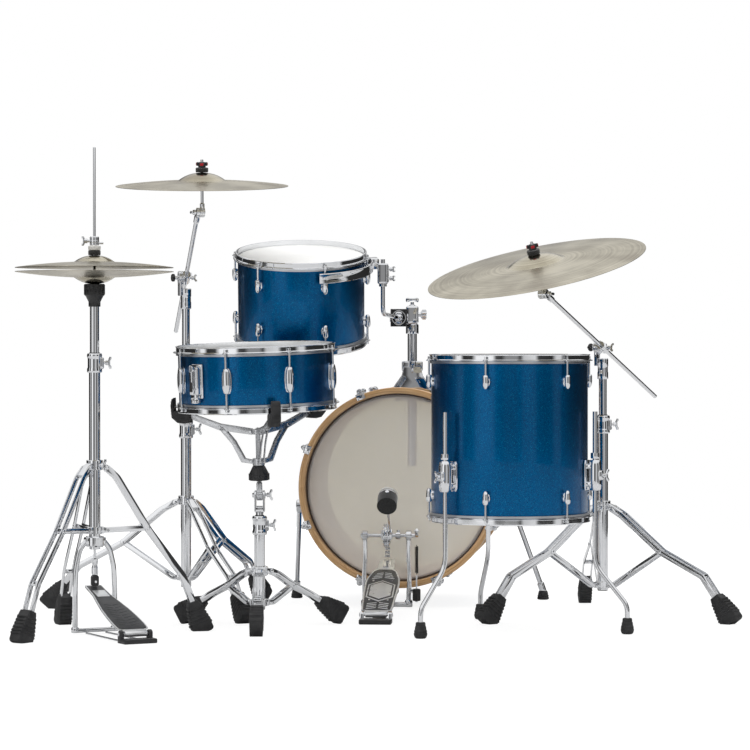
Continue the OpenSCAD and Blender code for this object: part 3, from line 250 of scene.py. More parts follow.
def block(x, y, z, edge=0.6, bevels=2):
    part = bmesh.new()
    bmesh.ops.create_cube(part, size=1)
    bmesh.ops.scale(part, vec=(x, y, z), verts=part.verts)
    bmesh.ops.translate(part, vec=(0, 0, z / 2), verts=part.verts)
    bmesh.ops.bevel(part, geom=part.edges[:], offset=edge, segments=bevels, profile=0.5, affect="EDGES",
        material=-1)
    return part


def plate(outline, thickness, edge=0.5):
    part = bmesh.new()
    face = part.faces.new([part.verts.new((x, y, -thickness / 2)) for x, y in outline])
    lifted = bmesh.ops.extrude_face_region(part, geom=[face])["geom"]
    bmesh.ops.translate(part, vec=(0, 0, thickness), verts=[v for v in lifted
        if isinstance(v, bmesh.types.BMVert)])
    bmesh.ops.recalc_face_normals(part, faces=part.faces)
    rims = [e for e in part.edges if abs(e.verts[0].co.z - e.verts[1].co.z) < 1e-6]
    if edge:
        bmesh.ops.bevel(part, geom=rims, offset=edge, segments=2, profile=0.5, affect="EDGES", material=-1)
    return part


def between(a, b):
    a, b = Vector(a), Vector(b)
    return Matrix.Translation(a) @ (b - a).to_track_quat("Z", "Y").to_matrix().to_4x4()




def bent_bar(points, radius, bend=12, rings=8):
    points = [Vector(p) for p in points]
    route = [points[0]]
    for before, corner, after in zip(points, points[1:], points[2:]):
        a, b = (before - corner).normalized(), (after - corner).normalized()
        reach = min(bend, 0.45 * (before - corner).length, 0.45 * (after - corner).length)
        for i in range(6):
            t = i / 5
            route.append(corner + a * reach * (1 - t) ** 2 + b * reach * t ** 2)
    route.append(points[-1])
    line = bpy.data.curves.new("line", "CURVE")
    line.dimensions = "3D"
    line.bevel_depth = radius
    line.bevel_resolution = rings
    line.use_fill_caps = True
    spline = line.splines.new("POLY")
    spline.points.add(len(route) - 1)
    for point, place in zip(spline.points, route):
        point.co = (*place, 1)
    holder = bpy.data.objects.new("line", line)
    scene.collection.objects.link(holder)
    shape = bpy.data.meshes.new_from_object(holder)
    part = bmesh.new()
    part.from_mesh(shape)
    bpy.data.objects.remove(holder)
    bpy.data.curves.remove(line)
    bpy.data.meshes.remove(shape)
    return part


def finished(name, whole, body, finishes, stands_for=(), sharp=32):
    whole.transform(MM)
    mesh = bpy.data.meshes.new(name)
    whole.to_mesh(mesh)
    whole.free()
    mesh.shade_smooth()
    mesh.set_sharp_from_angle(angle=radians(sharp))
    for finish in finishes:
        mesh.materials.append(finish)
    piece = bpy.data.objects.new(name, mesh)
    scene.collection.objects.link(piece)
    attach(piece, body)
    if stands_for:
        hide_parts(*stands_for)
    return piece


def raised(shader, source, distance, strength, socket="Normal"):
    bump = new_node(shader.id_data, "Bump", {"Height": source, "Distance": distance, "Strength": strength})
    feed(shader, {socket: bump.outputs["Normal"]})


def speckle(tree, scale, detail, stretch=(1, 1, 1)):
    spot = new_node(tree, "TexCoord").outputs["Object"]
    mapping = new_node(tree, "Mapping", {"Vector": spot, "Scale": stretch}, vector_type="TEXTURE")
    noise = new_node(tree, "TexNoise", {"Vector": mapping.outputs["Vector"], "Scale": scale,
        "Detail": detail})
    return noise.outputs["Fac"]


# A plain finish: its gloss or its tone wanders with one speckle, and another roughens it.
# Each speckle gives its scale and detail, then its ramp or the depth and strength of its bumps
def plain(name, color, roughness, metallic=0.0, gloss=None, tone=None, bumps=None, more=()):
    material, tree, shader = coated(name, color, roughness, metallic, more)
    for socket, spots in (("Roughness", gloss), ("Base Color", tone)):
        if spots:
            feed(shader, {socket: ramp(tree, speckle(tree, *spots[:2]), spots[2:])})
    if bumps:
        raised(shader, speckle(tree, *bumps[:2]), *bumps[2:])
    return material


# Where a point lies in the frame of an axis, and how far from that axis it is
def round_axis(tree, location, rotation):
    spot = new_node(tree, "TexCoord").outputs["Object"]
    centre = new_node(tree, "Mapping", {"Vector": spot, "Location": location, "Rotation": rotation},
        vector_type="TEXTURE").outputs["Vector"]
    flat = new_node(tree, "VectorMath", {0: centre, 1: (1, 1, 0)}, operation="MULTIPLY")
    return centre, new_node(tree, "VectorMath", {0: flat.outputs[0]}, operation="LENGTH").outputs["Value"]


# Blue lacquer: flakes of many tones lie at random tilts under a clear coat
sparkle, tree, shader = coated("blue_sparkle_lacquer", (0.0, 0.08, 0.25), 0.36, 1.0, {
    "Coat Weight": 0.5, "Coat Roughness": 0.04, "Coat IOR": 1.28})
spot = new_node(tree, "TexCoord").outputs["Object"]
flakes = new_node(tree, "TexVoronoi", {"Vector": spot, "Scale": 1300}).outputs["Color"]
tone = new_node(tree, "SeparateColor", {"Color": flakes}).outputs["Red"]
feed(shader, {"Base Color": ramp(tree, tone, [
    (0.0, (0.0, 0.06, 0.17)), (0.5, (0.0, 0.1, 0.28)), (0.85, (0.0, 0.14, 0.36)), (0.97, (0.0, 0.2, 0.48)),
    (1.0, (0.02, 0.4, 0.7))])})
raised(shader, flakes, 0.0003, 0.3)
raised(shader, speckle(tree, 9, 2), 0.0004, 0.3, "Coat Normal")

# The bare inside of the shells: pale ply with long grain round the drum
shell_wood, tree, shader = coated("bare_shell_wood", (0.55, 0.45, 0.38), 0.6)
grain = speckle(tree, 26, 6, (6, 1, 6))
feed(shader, {"Base Color": ramp(tree, grain, [(0.3, (0.82, 0.74, 0.69)), (0.7, (0.93, 0.87, 0.83))])})
raised(shader, grain, 0.0004, 0.3)

# Maple for the hoops: long grain that runs round the rim under clear lacquer
maple, tree, shader = coated("lacquered_maple", (0.6, 0.36, 0.16), 0.34, 0.0, {
    "Coat Weight": 0.5, "Coat Roughness": 0.1})
in_hoop, from_axis = round_axis(tree, (0.042, 0.235, 0.295), (radians(-90), 0, radians(-6)))
split = new_node(tree, "SeparateXYZ", {0: in_hoop})
turn_angle = new_node(tree, "Math", {0: split.outputs["Y"], 1: split.outputs["X"]}, operation="ARCTAN2")
unrolled = new_node(tree, "CombineXYZ", {"X": turn_angle.outputs[0], "Y": from_axis,
    "Z": split.outputs["Z"]})
along_grain = new_node(tree, "VectorMath", {0: unrolled.outputs[0], 1: (3, 320, 320)}, operation="MULTIPLY")
grain = new_node(tree, "TexNoise", {"Vector": along_grain.outputs[0], "Scale": 1.0,
    "Detail": 5}).outputs["Fac"]
feed(shader, {"Base Color": ramp(tree, grain, [
    (0.3, (0.47, 0.25, 0.1)), (0.5, (0.64, 0.38, 0.17)), (0.7, (0.76, 0.5, 0.26))])})
raised(shader, grain, 0.0003, 0.25)

# Chrome with faint polish marks, clear and cream film, aluminium for the flesh hoops, and
# a dark ring of painted shade for the shadowed gap that shows as a line under a hoop
chrome = plain("chrome_plate", (0.8, 0.81, 0.83), 0.07, 1.0, gloss=(40, 3, (0.3, 0.03), (0.75, 0.07)),
    bumps=(14, 1, 0.0003, 0.06))
clear_film = plain("clear_film", (0.95, 0.92, 0.9), 0.06, bumps=(5, 2, 0.002, 0.2),
    more={"Alpha": 0.4, "Coat Weight": 0.6})
cream_film = plain("cream_film", (0.84, 0.8, 0.68), 0.5, tone=(4, 3, (0.3, (0.88, 0.83, 0.64)),
    (0.7, (0.94, 0.9, 0.72))), bumps=(3, 2, 0.002, 0.2), more={"Transmission Weight": 0.6, "IOR": 1.05})
aluminium = plain("plain_aluminium", (0.62, 0.63, 0.65), 0.35, 1.0,
    gloss=(300, 3, (0.3, 0.28), (0.7, 0.42)))
# Painted shade: a dark brown ring that stands for the shadow in the gap under a hoop
gap_shade_ring = plain("gap_shade_ring", (0.1, 0.075, 0.06), 0.6, bumps=(400, 3, 0.0003, 0.3))

in_bass = shift(42, 235, 295) @ turn("Z", -6) @ turn("X", -90)
bass_r, bass_wall, bass_len = 228.5, 7, 412
hoop_in, hoop_out, hoop_w = 233.5, 248.5, 38
far_end = lift(bass_len) @ MIRRORED
bass_lugs_at = [22.5 + 45 * i for i in range(8)]

whole = bmesh.new()
lathe(whole, [(bass_r - bass_wall, 31), (bass_r - bass_wall, 381), (bass_r - 4, 384), (bass_r - 1, 382),
    (bass_r, 378), (bass_r, 34), (bass_r - 1, 30), (bass_r - 4, 28)], 192, in_bass)
for face in whole.faces:
    flat = in_bass.inverted() @ face.calc_center_median()
    face.material_index = 1 if hypot(flat.x, flat.y) < bass_r - 5 else 0
finished("bass_drum_shell", whole, "kit", [sparkle, shell_wood], ["bass_shell"])

for name, end, film, slot, node in (
        ("batter_head_film", Matrix(), clear_film, "clear_film", "bass_batter_head"),
        ("front_head_film", far_end, cream_film, "cream_film", "bass_resonant_head")):
    whole = bmesh.new()
    lathe(whole, [(0, 27.6), (200, 27.6), (225, 27.5), (228.6, 28.4), (229.4, 31), (229.5, 46),
        (228.9, 46), (228.8, 31.5), (227, 29), (200, 28.3), (0, 28.3)], 128, in_bass @ end)
    lathe(whole, [(229.4, 38.2), (237.2, 38.2), (237.5, 39), (237.5, 45.5), (236.8, 46), (229.4, 46)], 128,
        in_bass @ end, 1)
    # A dark ring of painted shade fills the gap between the film's collar and the hoop
    lathe(whole, [(229.7, 30), (233.3, 30), (233.3, 37.8), (229.7, 37.8)], 128, in_bass @ end, 2)
    finished(name, whole, "kit", [film, aluminium, gap_shade_ring], [node])

whole = bmesh.new()
for end in (Matrix(), far_end):
    lathe(whole, [(hoop_in, 2.5), (hoop_in + 1, 0.8), (hoop_in + 2.5, 0), (hoop_out - 3, 0),
        (hoop_out - 1, 0.8), (hoop_out, 3), (hoop_out, hoop_w - 3), (hoop_out - 1, hoop_w - 0.8),
        (hoop_out - 3, hoop_w), (hoop_in + 1, hoop_w), (hoop_in, hoop_w - 1)], 192, in_bass @ end)
finished("maple_hoops", whole, "kit", [maple], ["bass_hoops"])


# A claw hooks over the hoop's edge; a long square-headed rod pulls it towards the lug
whole = bmesh.new()
claw_set = bmesh.new()
rod_r = hoop_out + 8.5
outline = [(hoop_out - 12, -0.4), (hoop_out - 12, -2.6), (hoop_out - 8, -3), (hoop_out, -3),
    (hoop_out + 3, -1.5), (hoop_out + 4, 2), (hoop_out + 4, 44), (hoop_out + 0.6, 44),
    (hoop_out + 0.6, 0.6), (hoop_out - 1, -0.4)]
slab(claw_set, outline, 22, 0.8, upright, 0)
rod(claw_set, 7.4, 22, 24, shift(rod_r, 0, 21), top=6.2, edge=1.5)
brick(claw_set, 9, 16, 24, 2, shift(rod_r - 4, 0, 19))
brick(claw_set, 6.4, 6.4, 9, 0.8, shift(rod_r, 0, 12.5))
rod(claw_set, 5.2, 2.4, 24, shift(rod_r, 0, 19.6))
rod(claw_set, 2.5, 75, 16, shift(rod_r, 0, 30))
lathe(claw_set, [(0, 95.6), (5, 96), (6.4, 98), (7, 104), (6.6, 114), (4.6, 120), (0, 121.4)], 24,
    shift(rod_r, 0, 0))
lathe(claw_set, [(0, 228), (9, 228), (10.5, 232), (9, 240), (6.5, 248), (4, 252), (0, 253.5)], 24,
    lift(109) @ along_x @ Matrix.Scale(1.35, 4, (1, 0, 0)))
repeat(whole, claw_set, [in_bass @ end @ turn("Z", a) for end in (Matrix(), far_end) for a in bass_lugs_at])
finished("bass_drum_claws_and_lugs", whole, "kit", [chrome], ["bass_lugs"])

# Round bosses on the shell carry the spurs and, on top, a cast saddle holds the post's
# clamp. The spurs are steel rods with turned hubs and pointed rubber feet.
steel = plain("satin_steel", (0.66, 0.67, 0.69), 0.3, 1.0, gloss=(120, 3, (0.3, 0.22), (0.7, 0.38)),
    bumps=(500, 2, 0.0001, 0.3))
rubber = plain("black_rubber", (0.017, 0.017, 0.018), 0.62, tone=(60, 4, (0.3, (0.011, 0.011, 0.012)),
    (0.7, (0.03, 0.03, 0.031))), bumps=(900, 3, 0.0004, 0.5))


def wing(whole, place, reach, span, finish=0):
    rod(whole, 3.4, reach, 16, place @ along_x, finish)
    rod(whole, 5.4, 7, 20, place @ shift(reach - 2, 0, 0) @ along_x, finish, top=4.6)
    lobe = [(0, -3), (3, -4.6), (7, -span / 2), (11, -span / 2 + 0.5), (11.5, -span / 2 + 5), (8.5, -4),
        (8.5, 4), (11.5, span / 2 - 5), (11, span / 2 - 0.5), (7, span / 2), (3, 4.6), (0, 3)]
    slab(whole, lobe, 4.4, 1.4, place @ shift(reach - 0.4, 0, 0) @ upright, finish)


post_x, post_y = 78.05, 319.69
spur_y, spur_z = 58, 205
whole = bmesh.new()
for s in (-1, 1):
    boss = in_bass @ shift(s * 220, spur_y, spur_z) @ turn("Y", s * 90)
    lathe(whole, [(0, -6), (19, -6), (20, 6), (17.5, 9), (16.5, 14), (17, 40), (16, 44.6), (0, 44.6)], 40,
        boss)
    lathe(whole, [(17, 18), (18.4, 19.5), (18.4, 23), (17, 24.5)], 40, boss)
for height, x, y, thickness, edge in ((508, 84, 52, 12, 5), (516, 66, 44, 12, 8), (582, 52, 34, 26, 4)):
    brick(whole, x, y, thickness, edge, shift(post_x, post_y, height), bevels=3)
lathe(whole, [(11.9, 520), (19, 520), (20, 524), (18.2, 530), (18.2, 578), (20, 584), (19, 607), (17, 608),
    (11.9, 608)], 48, shift(post_x, post_y, 0))
wing(whole, shift(post_x, post_y - 17, 594) @ turn("Z", -90), 12, 24)
for x in (-34, 34):
    for y in (-18, 18):
        rod(whole, 4.6, 4, 6, shift(post_x + x, post_y + y, 519))
saddle = [(-56, 8), (56, 8), (54, 20), (42, 40), (26, 62), (21, 84), (-21, 84), (-26, 62), (-42, 40),
    (-54, 20)]
for s in (-1, 1):
    slab(whole, saddle, 8, 2, shift(post_x, post_y + s * 17, 510) @ upright)
finished("spur_bosses_and_post_mount", whole, "kit", [chrome], ["bass_brackets"])

for s, side, foot in ((-1, "left", (-215, 500)), (1, "right", (413, 455))):
    whole = bmesh.new()
    hub = in_bass @ Vector((s * 272, spur_y, spur_z))
    tip = Vector((foot[0], foot[1], 22))
    lathe(whole, [(0, 0), (15, 0), (17, 1.6), (17, 12.4), (15, 14), (11, 14), (10, 12.6), (4, 12.6),
        (3.4, 15), (0, 15)], 48, in_bass @ shift(s * 265, spur_y, spur_z) @ turn("Y", s * 90))
    start = hub + (tip - hub).normalized() * 12
    rod(whole, 6, (tip - start).length, 24, between(start, tip))
    low = between(tip, hub)
    lathe(whole, [(0, -2), (8.4, -2), (8.8, 2), (8.8, 20), (7.6, 23), (0, 23)], 32, low)
    lathe(whole, [(0, 0), (12, 0), (15, 2), (15, 5), (13.4, 6.5), (14.2, 8), (14, 11), (12.6, 12.4),
        (13, 14), (12, 18), (10.4, 22), (0, 22)], 40, shift(foot[0], foot[1], 0), 1)
    finished("spur_" + side + "_rod", whole, "spur_" + side, [chrome, rubber], ["spur_" + side])

# ---------------------------------------------------------------- rack tom
# A short lacquered shell with a coated head at each end, triple-flanged steel hoops, six
# bullet lugs at each edge, and a steel band that hangs it from the L-rod without a hole.
coated_film = plain("coated_white_film", (0.87, 0.87, 0.87), 0.5, tone=(7, 3, (0.3, (0.72, 0.72, 0.71)),
    (0.7, (0.82, 0.82, 0.81))), bumps=(1400, 2, 0.0002, 0.4))


def drum_shell(name, body, place, r, depth, node):
    whole = bmesh.new()
    lathe(whole, [(r - 6, 3), (r - 6, depth - 3), (r - 3.4, depth), (r - 1, depth - 1.2), (r, depth - 4),
        (r, 4), (r - 1, 1.2), (r - 3.4, 0)], 192, place)
    for face in whole.faces:
        flat = place.inverted() @ face.calc_center_median()
        face.material_index = 1 if hypot(flat.x, flat.y) < r - 4.6 else 0
    finished(name, whole, body, [sparkle, shell_wood], [node])


# The two heads: each a film with a rounded collar, glued into an aluminium flesh hoop
def drum_heads(name, body, place, r, depth, node):
    whole = bmesh.new()
    for end in (Matrix(), lift(depth) @ MIRRORED):
        lathe(whole, [(0, -0.9), (r - 8, -0.9), (r - 2, -0.6), (r + 0.4, 0.6), (r + 1, 3), (r + 1, 9),
            (r + 0.4, 9), (r + 0.35, 3), (r - 1, 0), (r - 8, -0.3), (0, -0.3)], 128, place @ end)
        lathe(whole, [(r + 0.9, 3), (r + 4.4, 3.2), (r + 4.5, 8.6), (r + 0.9, 9)], 128, place @ end, 1)
    finished(name, whole, body, [coated_film, aluminium], [node])


# The two hoops: sheet steel rolled into three flanges, with an ear round each rod's hole
def steel_hoops(name, body, place, r, depth, angles, node):
    whole = bmesh.new()
    a = r + 1.8
    for end in (lift(depth), MIRRORED):
        lathe(whole, [(a, -3), (a + 8.4, -3), (a + 9, -2.6), (a + 9, -1), (a + 8.4, -0.5), (a + 3.4, -0.5),
            (a + 2.4, 0.6), (a + 2.3, 9.4), (a + 3.3, 9.8), (a + 3.9, 10.8), (a + 3.3, 11.8),
            (a + 2.2, 12), (a + 0.6, 12), (a, 11.2)], 192, place @ end)
        for angle in angles:
            rod(whole, 6.5, 2.5, 32, place @ end @ turn("Z", angle) @ shift(r + 9, 0, -3), edge=0.5)
    finished(name, whole, body, [chrome], [node])


# One rod: square head, washer and threaded shank; the lug is a bullet on a small foot
def square_rod(part, top, length):
    brick(part, 5.6, 5.6, 8, 0.7, lift(top))
    lathe(part, [(0, 0), (4.5, 0), (4.5, 1.2), (3.8, 2.2), (0, 2.2)], 24, lift(top))
    rod(part, 2.5, length, 16, lift(top - length))


def bullet_lugs(name, body, place, r, depth, angles, node):
    whole, lug = bmesh.new(), bmesh.new()
    top = depth - 34
    square_rod(lug, depth - 0.5, 48)
    lathe(lug, [(0, top - 31), (2.4, top - 30.4), (4.6, top - 28), (6.2, top - 23), (7, top - 15),
        (7, top - 5), (6.2, top - 2), (4.6, top), (0, top)], 28)
    lathe(lug, [(0, -9), (9, -9), (8.6, -5), (6.4, -2.4), (5.4, 2), (0, 2)], 28, lift(top - 15) @ along_x
        @ Matrix.Scale(1.3, 4, (1, 0, 0)))
    lug.transform(shift(r + 9, 0, 0))
    ends = (Matrix(), lift(depth) @ MIRRORED)
    repeat(whole, lug, [place @ end @ turn("Z", a) for end in ends for a in angles])
    finished(name, whole, body, [chrome], [node])


# The drum stands upright in its own frame, so one frame places all four pieces of it
tom_r, tom_depth = 152.5, 203
in_tom = shift(-193, 45, 874) @ turn("X", 12) @ lift(-215)
tom_lugs_at = [60 * i - 68 for i in range(6)]
drum_shell("rack_tom_shell", "rack_tom", in_tom, tom_r, tom_depth, "tom_shell")
drum_heads("rack_tom_heads", "rack_tom", in_tom, tom_r, tom_depth, "tom_heads")
steel_hoops("rack_tom_hoops", "rack_tom", in_tom, tom_r, tom_depth, tom_lugs_at, "tom_hoops")
bullet_lugs("rack_tom_lugs", "rack_tom", in_tom, tom_r, tom_depth, tom_lugs_at, "tom_lugs")


# The hanger: a steel band round half the shell, held by three rods, with a clamp block
def banded(outline, start, sweep, steps=64):
    part = bmesh.new()
    face = part.faces.new([part.verts.new((r, 0, z)) for r, z in outline])
    bmesh.ops.rotate(part, verts=part.verts, cent=(0, 0, 0), matrix=turn("Z", start).to_3x3())
    bmesh.ops.spin(part, geom=part.verts[:] + part.edges[:] + [face], cent=(0, 0, 0), axis=(0, 0, 1),
        angle=radians(sweep), steps=steps)
    return part


black_plastic = plain("black_moulding", (0.02, 0.02, 0.021), 0.4, gloss=(90, 3, (0.3, 0.32), (0.7, 0.5)),
    bumps=(1200, 2, 0.00015, 0.4))

arm_x, arm_y = 4, 88
whole = bmesh.new()
set_in(whole, banded([(170, 167), (172.4, 167), (173.4, 168), (173.4, 170), (173, 171), (173, 187),
    (173.4, 188), (173.4, 190), (172.4, 191), (170, 191)], -74, 132), in_tom)
for angle in tom_lugs_at[:3]:
    brick(whole, 17, 14, 5, 1, in_tom @ turn("Z", angle) @ shift(163.6, 0, 183))
    rod(whole, 4.4, 3, 6, in_tom @ turn("Z", angle) @ shift(172, 0, 179) @ along_x)
brick(whole, 20, 30, 26, 3, in_tom @ turn("Z", 12) @ shift(180, 0, 166))
brick(whole, 26, 30, 50, 4, shift(arm_x, arm_y, 796), bevels=3)
brick(whole, 6, 22, 40, 2, shift(arm_x + 12, arm_y, 801))
for low in (814, 836):
    wing(whole, shift(arm_x + 13, arm_y, low - 4), 6, 14)
lathe(whole, [(5.4, 790), (9, 790), (9.6, 793), (9, 797), (5.4, 797)], 32, shift(arm_x, arm_y, 0))
finished("tom_hanger_band", whole, "rack_tom", [chrome], ["tom_suspension"])

# ---------------------------------------------------------------- tom post and arm
# A chromed tube slides in the bass drum's clamp. Its cast head grips a ball between two
# black jaws; the bent arm that leaves the ball ends in the tom's clamp block.
whole = bmesh.new()
lathe(whole, [(10.5, 345), (11.7, 345.6), (11.7, 700), (10.5, 700)], 40, shift(post_x, post_y, 0))
lathe(whole, [(11.6, 676), (15.4, 676), (16, 678), (16, 697), (15, 700), (11.6, 700)], 40,
    shift(post_x, post_y, 0))
brick(whole, 31, 35, 46, 6, shift(post_x, post_y, 700), bevels=4)
lathe(whole, [(0, 745), (8, 745), (7, 748), (4.4, 749), (4.4, 755), (0, 755)], 28, shift(post_x, post_y, 0))
lobes = [(-16, -2), (-14.5, -5.4), (-8, -4), (-4, -2), (4, -2), (8, -4), (14.5, -5.4), (16, -2), (16, 4),
    (12, 6.4), (5, 5), (-5, 5), (-12, 6.4), (-16, 4)]
slab(whole, lobes, 7, 2, shift(post_x, post_y, 760) @ upright)
knob = shift(post_x + 15, post_y, 724) @ along_x
lathe(whole, [(0, 0), (5, 0), (5, 6), (9, 7), (11, 10), (11, 19), (9.5, 21), (0, 21)], 32, knob)
ring_of(whole, round_bar(1.6, 9, 10), 10, 11, 10, knob)
ball_x, ball_y, ball_z = 44.05, 301.69, 716
for s in (-1, 1):
    jaw = [(-14, -20), (-12, -22), (18, -22), (24, -16), (24, 16), (18, 22), (-12, 22), (-14, 20)]
    slab(whole, jaw, 5, 1, shift(ball_x + s * 17.8, ball_y, ball_z) @ along_x @ turn("Z", 90), 1)
    rod(whole, 10, 2.4, 32, shift(ball_x + s * 20, ball_y, ball_z) @ turn("Y", s * 90), edge=0.8)
brick(whole, 40.6, 8, 44, 2, shift(ball_x, ball_y + 20, ball_z - 22), 1)
lathe(whole, [(15.6, -4), (18, -4), (18.6, 0), (18, 4), (15.6, 4)], 40, shift(ball_x, ball_y - 12, ball_z)
    @ upright)
finished("tom_post_and_jaws", whole, "tom_post", [chrome, black_plastic], ["tom_post"])

whole = bmesh.new()
ball = bmesh.new()
bmesh.ops.create_uvsphere(ball, u_segments=40, v_segments=24, radius=14.9)
set_in(whole, ball, shift(ball_x, ball_y, ball_z))
set_in(whole, bent_bar([(ball_x, ball_y, ball_z), (arm_x, arm_y, 724), (arm_x, arm_y, 856)], 5.25, 22))
finished("tom_l_rod", whole, "tom_arm", [chrome], ["tom_arm"])

# ---------------------------------------------------------------- snare drum
# A shallow lacquered shell with eight long lugs. The strainer on the drummer's left pulls
# twenty coiled wires against the bottom head, and its lever hangs down beside the shell.
snare_stand = (-280, -288)
in_basket = shift(*snare_stand, 305) @ turn("Y", -1.5) @ turn("X", 2)
in_snare = in_basket @ lift(208)
snare_r, snare_depth = 178, 127
snare_lugs_at = [45 * i - 64 for i in range(8)]
drum_shell("snare_drum_shell", "snare", in_snare, snare_r, snare_depth, "snare_shell")
drum_heads("snare_drum_heads", "snare", in_snare, snare_r, snare_depth, "snare_heads")
steel_hoops("snare_drum_hoops", "snare", in_snare, snare_r, snare_depth, snare_lugs_at, "snare_hoops")

# Both ends of a long lug are the same casting and rod, the lower one mirrored
whole, lug, half = bmesh.new(), bmesh.new(), bmesh.new()
square_rod(half, 126.5, 48)
lathe(half, [(0, 63.4), (7.4, 63.4), (7.4, 70), (6.9, 78), (5.8, 85), (4.4, 90), (3.4, 91.4), (0, 91.5)],
    28, Matrix.Scale(1.35, 4, (0, 1, 0)))
repeat(lug, half, (Matrix(), lift(snare_depth) @ MIRRORED))
foot = [(-7, -27), (0, -31), (7, -27), (10, -18), (11.4, 0), (10, 18), (7, 27), (0, 31), (-7, 27),
    (-10, 18), (-11.4, 0), (-10, -18)]
slab(lug, foot, 3.6, 1, shift(-7.4, 0, 63.5) @ along_x @ turn("Z", 90))
brick(lug, 7, 9, 40, 2, shift(-4, 0, 43.5))
lug.transform(shift(187, 0, 0))
repeat(whole, lug, [in_snare @ turn("Z", a) for a in snare_lugs_at])
finished("snare_long_lugs", whole, "snare", [chrome], ["snare_lugs"])

strainer_angle, butt_angle = 225, 45
strainer = in_snare @ turn("Z", strainer_angle)
whole, coil = bmesh.new(), bmesh.new()
lathe(coil, [(0, -150)] + [((0.85 if i % 2 else 0.6), -149 + i * 1.5) for i in range(199)] + [(0, 150)], 8,
    along_x)
repeat(whole, coil, [strainer @ shift(0, (i - 9.5) * 2.2, -1.5) for i in range(20)])
for s in (-1, 1):
    brick(whole, 12, 48, 1.2, 0.4, strainer @ shift(s * 156, 0, -2.4))
finished("snare_coiled_wires", whole, "snare", [steel], ["snare_wires"], sharp=60)

whole = bmesh.new()
brick(whole, 5, 36, 78, 2.4, strainer @ shift(180, 0, 24), bevels=3)
brick(whole, 13, 28, 64, 4, strainer @ shift(188, 0, 32), bevels=4)
lathe(whole, [(0, 0), (9, 0), (9.6, 2), (9.6, 8), (8, 10), (0, 10)], 36, strainer @ shift(187, 0, 14))
ring_of(whole, round_bar(1.2, 8, 8), 12, 9.6, 0, strainer @ shift(187, 0, 15))
brick(whole, 9, 22, 13, 2, strainer @ shift(188, 0, 22))
for height in (46, 70):
    rod(whole, 3.2, 1.6, 20, strainer @ shift(194, 8, height) @ along_x)
butt = in_snare @ turn("Z", butt_angle)
brick(whole, 9, 36, 52, 2.4, butt @ shift(182.4, 0, 34), bevels=3)
brick(whole, 8, 26, 20, 2, butt @ shift(186, 0, 38))
for s in (-1, 1):
    rod(whole, 3, 3, 20, butt @ shift(186, s * 7, 70) @ along_x)
finished("snare_strainer_and_butt", whole, "snare", [chrome], ["snare_strainer"])

whole = bmesh.new()
rod(whole, 8, 6, 36, strainer @ shift(195.3, 0, 92) @ along_x, edge=1)
grip = [(-5, 4), (-6, -10), (-5, -30), (-6, -50), (-4.5, -57), (0, -58), (4.5, -57), (6, -50), (5, -30),
    (6, -10), (5, 4)]
slab(whole, grip, 5, 1.4, strainer @ shift(197.8, 0, 92) @ turn("Z", 90) @ upright)
brick(whole, 1.6, 8, 22, 0.5, strainer @ shift(200.4, 0, 40), 1)
finished("strainer_throw_lever", whole, "strainer_lever", [chrome, rubber], ["strainer_lever"])

# ---------------------------------------------------------------- snare stand
# Three flat steel arms with black rubber grips open round a threaded tube when the black
# conical knob is turned. A forked tilter joins the basket to the stand's upper tube.
whole = bmesh.new()
lathe(whole, [(6.2, 36), (21, 34), (23, 35), (23, 39), (22.4, 40), (23, 41), (22.6, 45), (22, 46),
    (22.6, 47), (22, 51), (18.5, 58), (14.5, 66), (12.6, 67.6), (6.2, 67.6)], 48, in_basket, 1)
ring_of(whole, round_bar(2, 15, 10), 12, 22, 35, in_basket, 1)
thread = [(0, 30)] + [((6.0 if i % 2 else 5.6), 31 + i * 0.9) for i in range(133)] + [(0, 152)]
lathe(whole, thread, 32, in_basket)
lathe(whole, [(0, 150), (5.6, 150), (4.8, 154), (0, 156)], 32, in_basket)
for low, high in ((68, 85), (140, 152)):
    lathe(whole, [(6, low), (13, low), (14, low + 1), (14, high - 1), (13, high), (6, high)], 40, in_basket)
for angle in (-76, 44, 164):
    arm = in_basket @ turn("Z", angle)
    for s in (-1, 1):
        side = arm @ shift(0, s * 4.6, 0) @ upright
        slab(whole, [(13, 139), (13, 153), (90, 165), (164, 191), (167, 179), (92, 150)], 2.2, 0.6, side)
        slab(whole, [(12, 72), (12, 81), (32, 85), (54, 125), (84, 160), (92, 153), (62, 118), (40, 76)],
            2.2, 0.6, side)
    slab(whole, [(118, 167), (118, 170), (160, 184), (160, 181)], 8, 0.5, arm @ upright)
    for r, z in ((90, 157), (17, 146), (17, 77)):
        rod(whole, 3.6, 15, 20, arm @ shift(r, 7.5, z) @ upright, edge=0.8)
    hook = [(160, 168), (176, 166), (192, 168), (206, 180), (208, 208), (205, 223), (200, 226),
        (199.5, 196), (165, 196), (160, 192)]
    slab(whole, hook, 23, 3, arm @ upright, 2)
    for i in range(5):
        brick(whole, 2, 19, 1.4, 0.4, arm @ shift(206.5, 0, 188 + i * 7), 2)
brick(whole, 13, 19, 30, 3, in_basket, bevels=3)
rod(whole, 11.6, 13.6, 48, in_basket @ shift(-6.8, 0, 0) @ along_x, edge=1)
for i in range(24):
    brick(whole, 12.8, 1.3, 1.2, 0.3, in_basket @ turn("X", 15 * i) @ lift(11.2))
finished("snare_basket_arms", whole, "snare", [steel, black_plastic, rubber],
    ["snare_basket"])

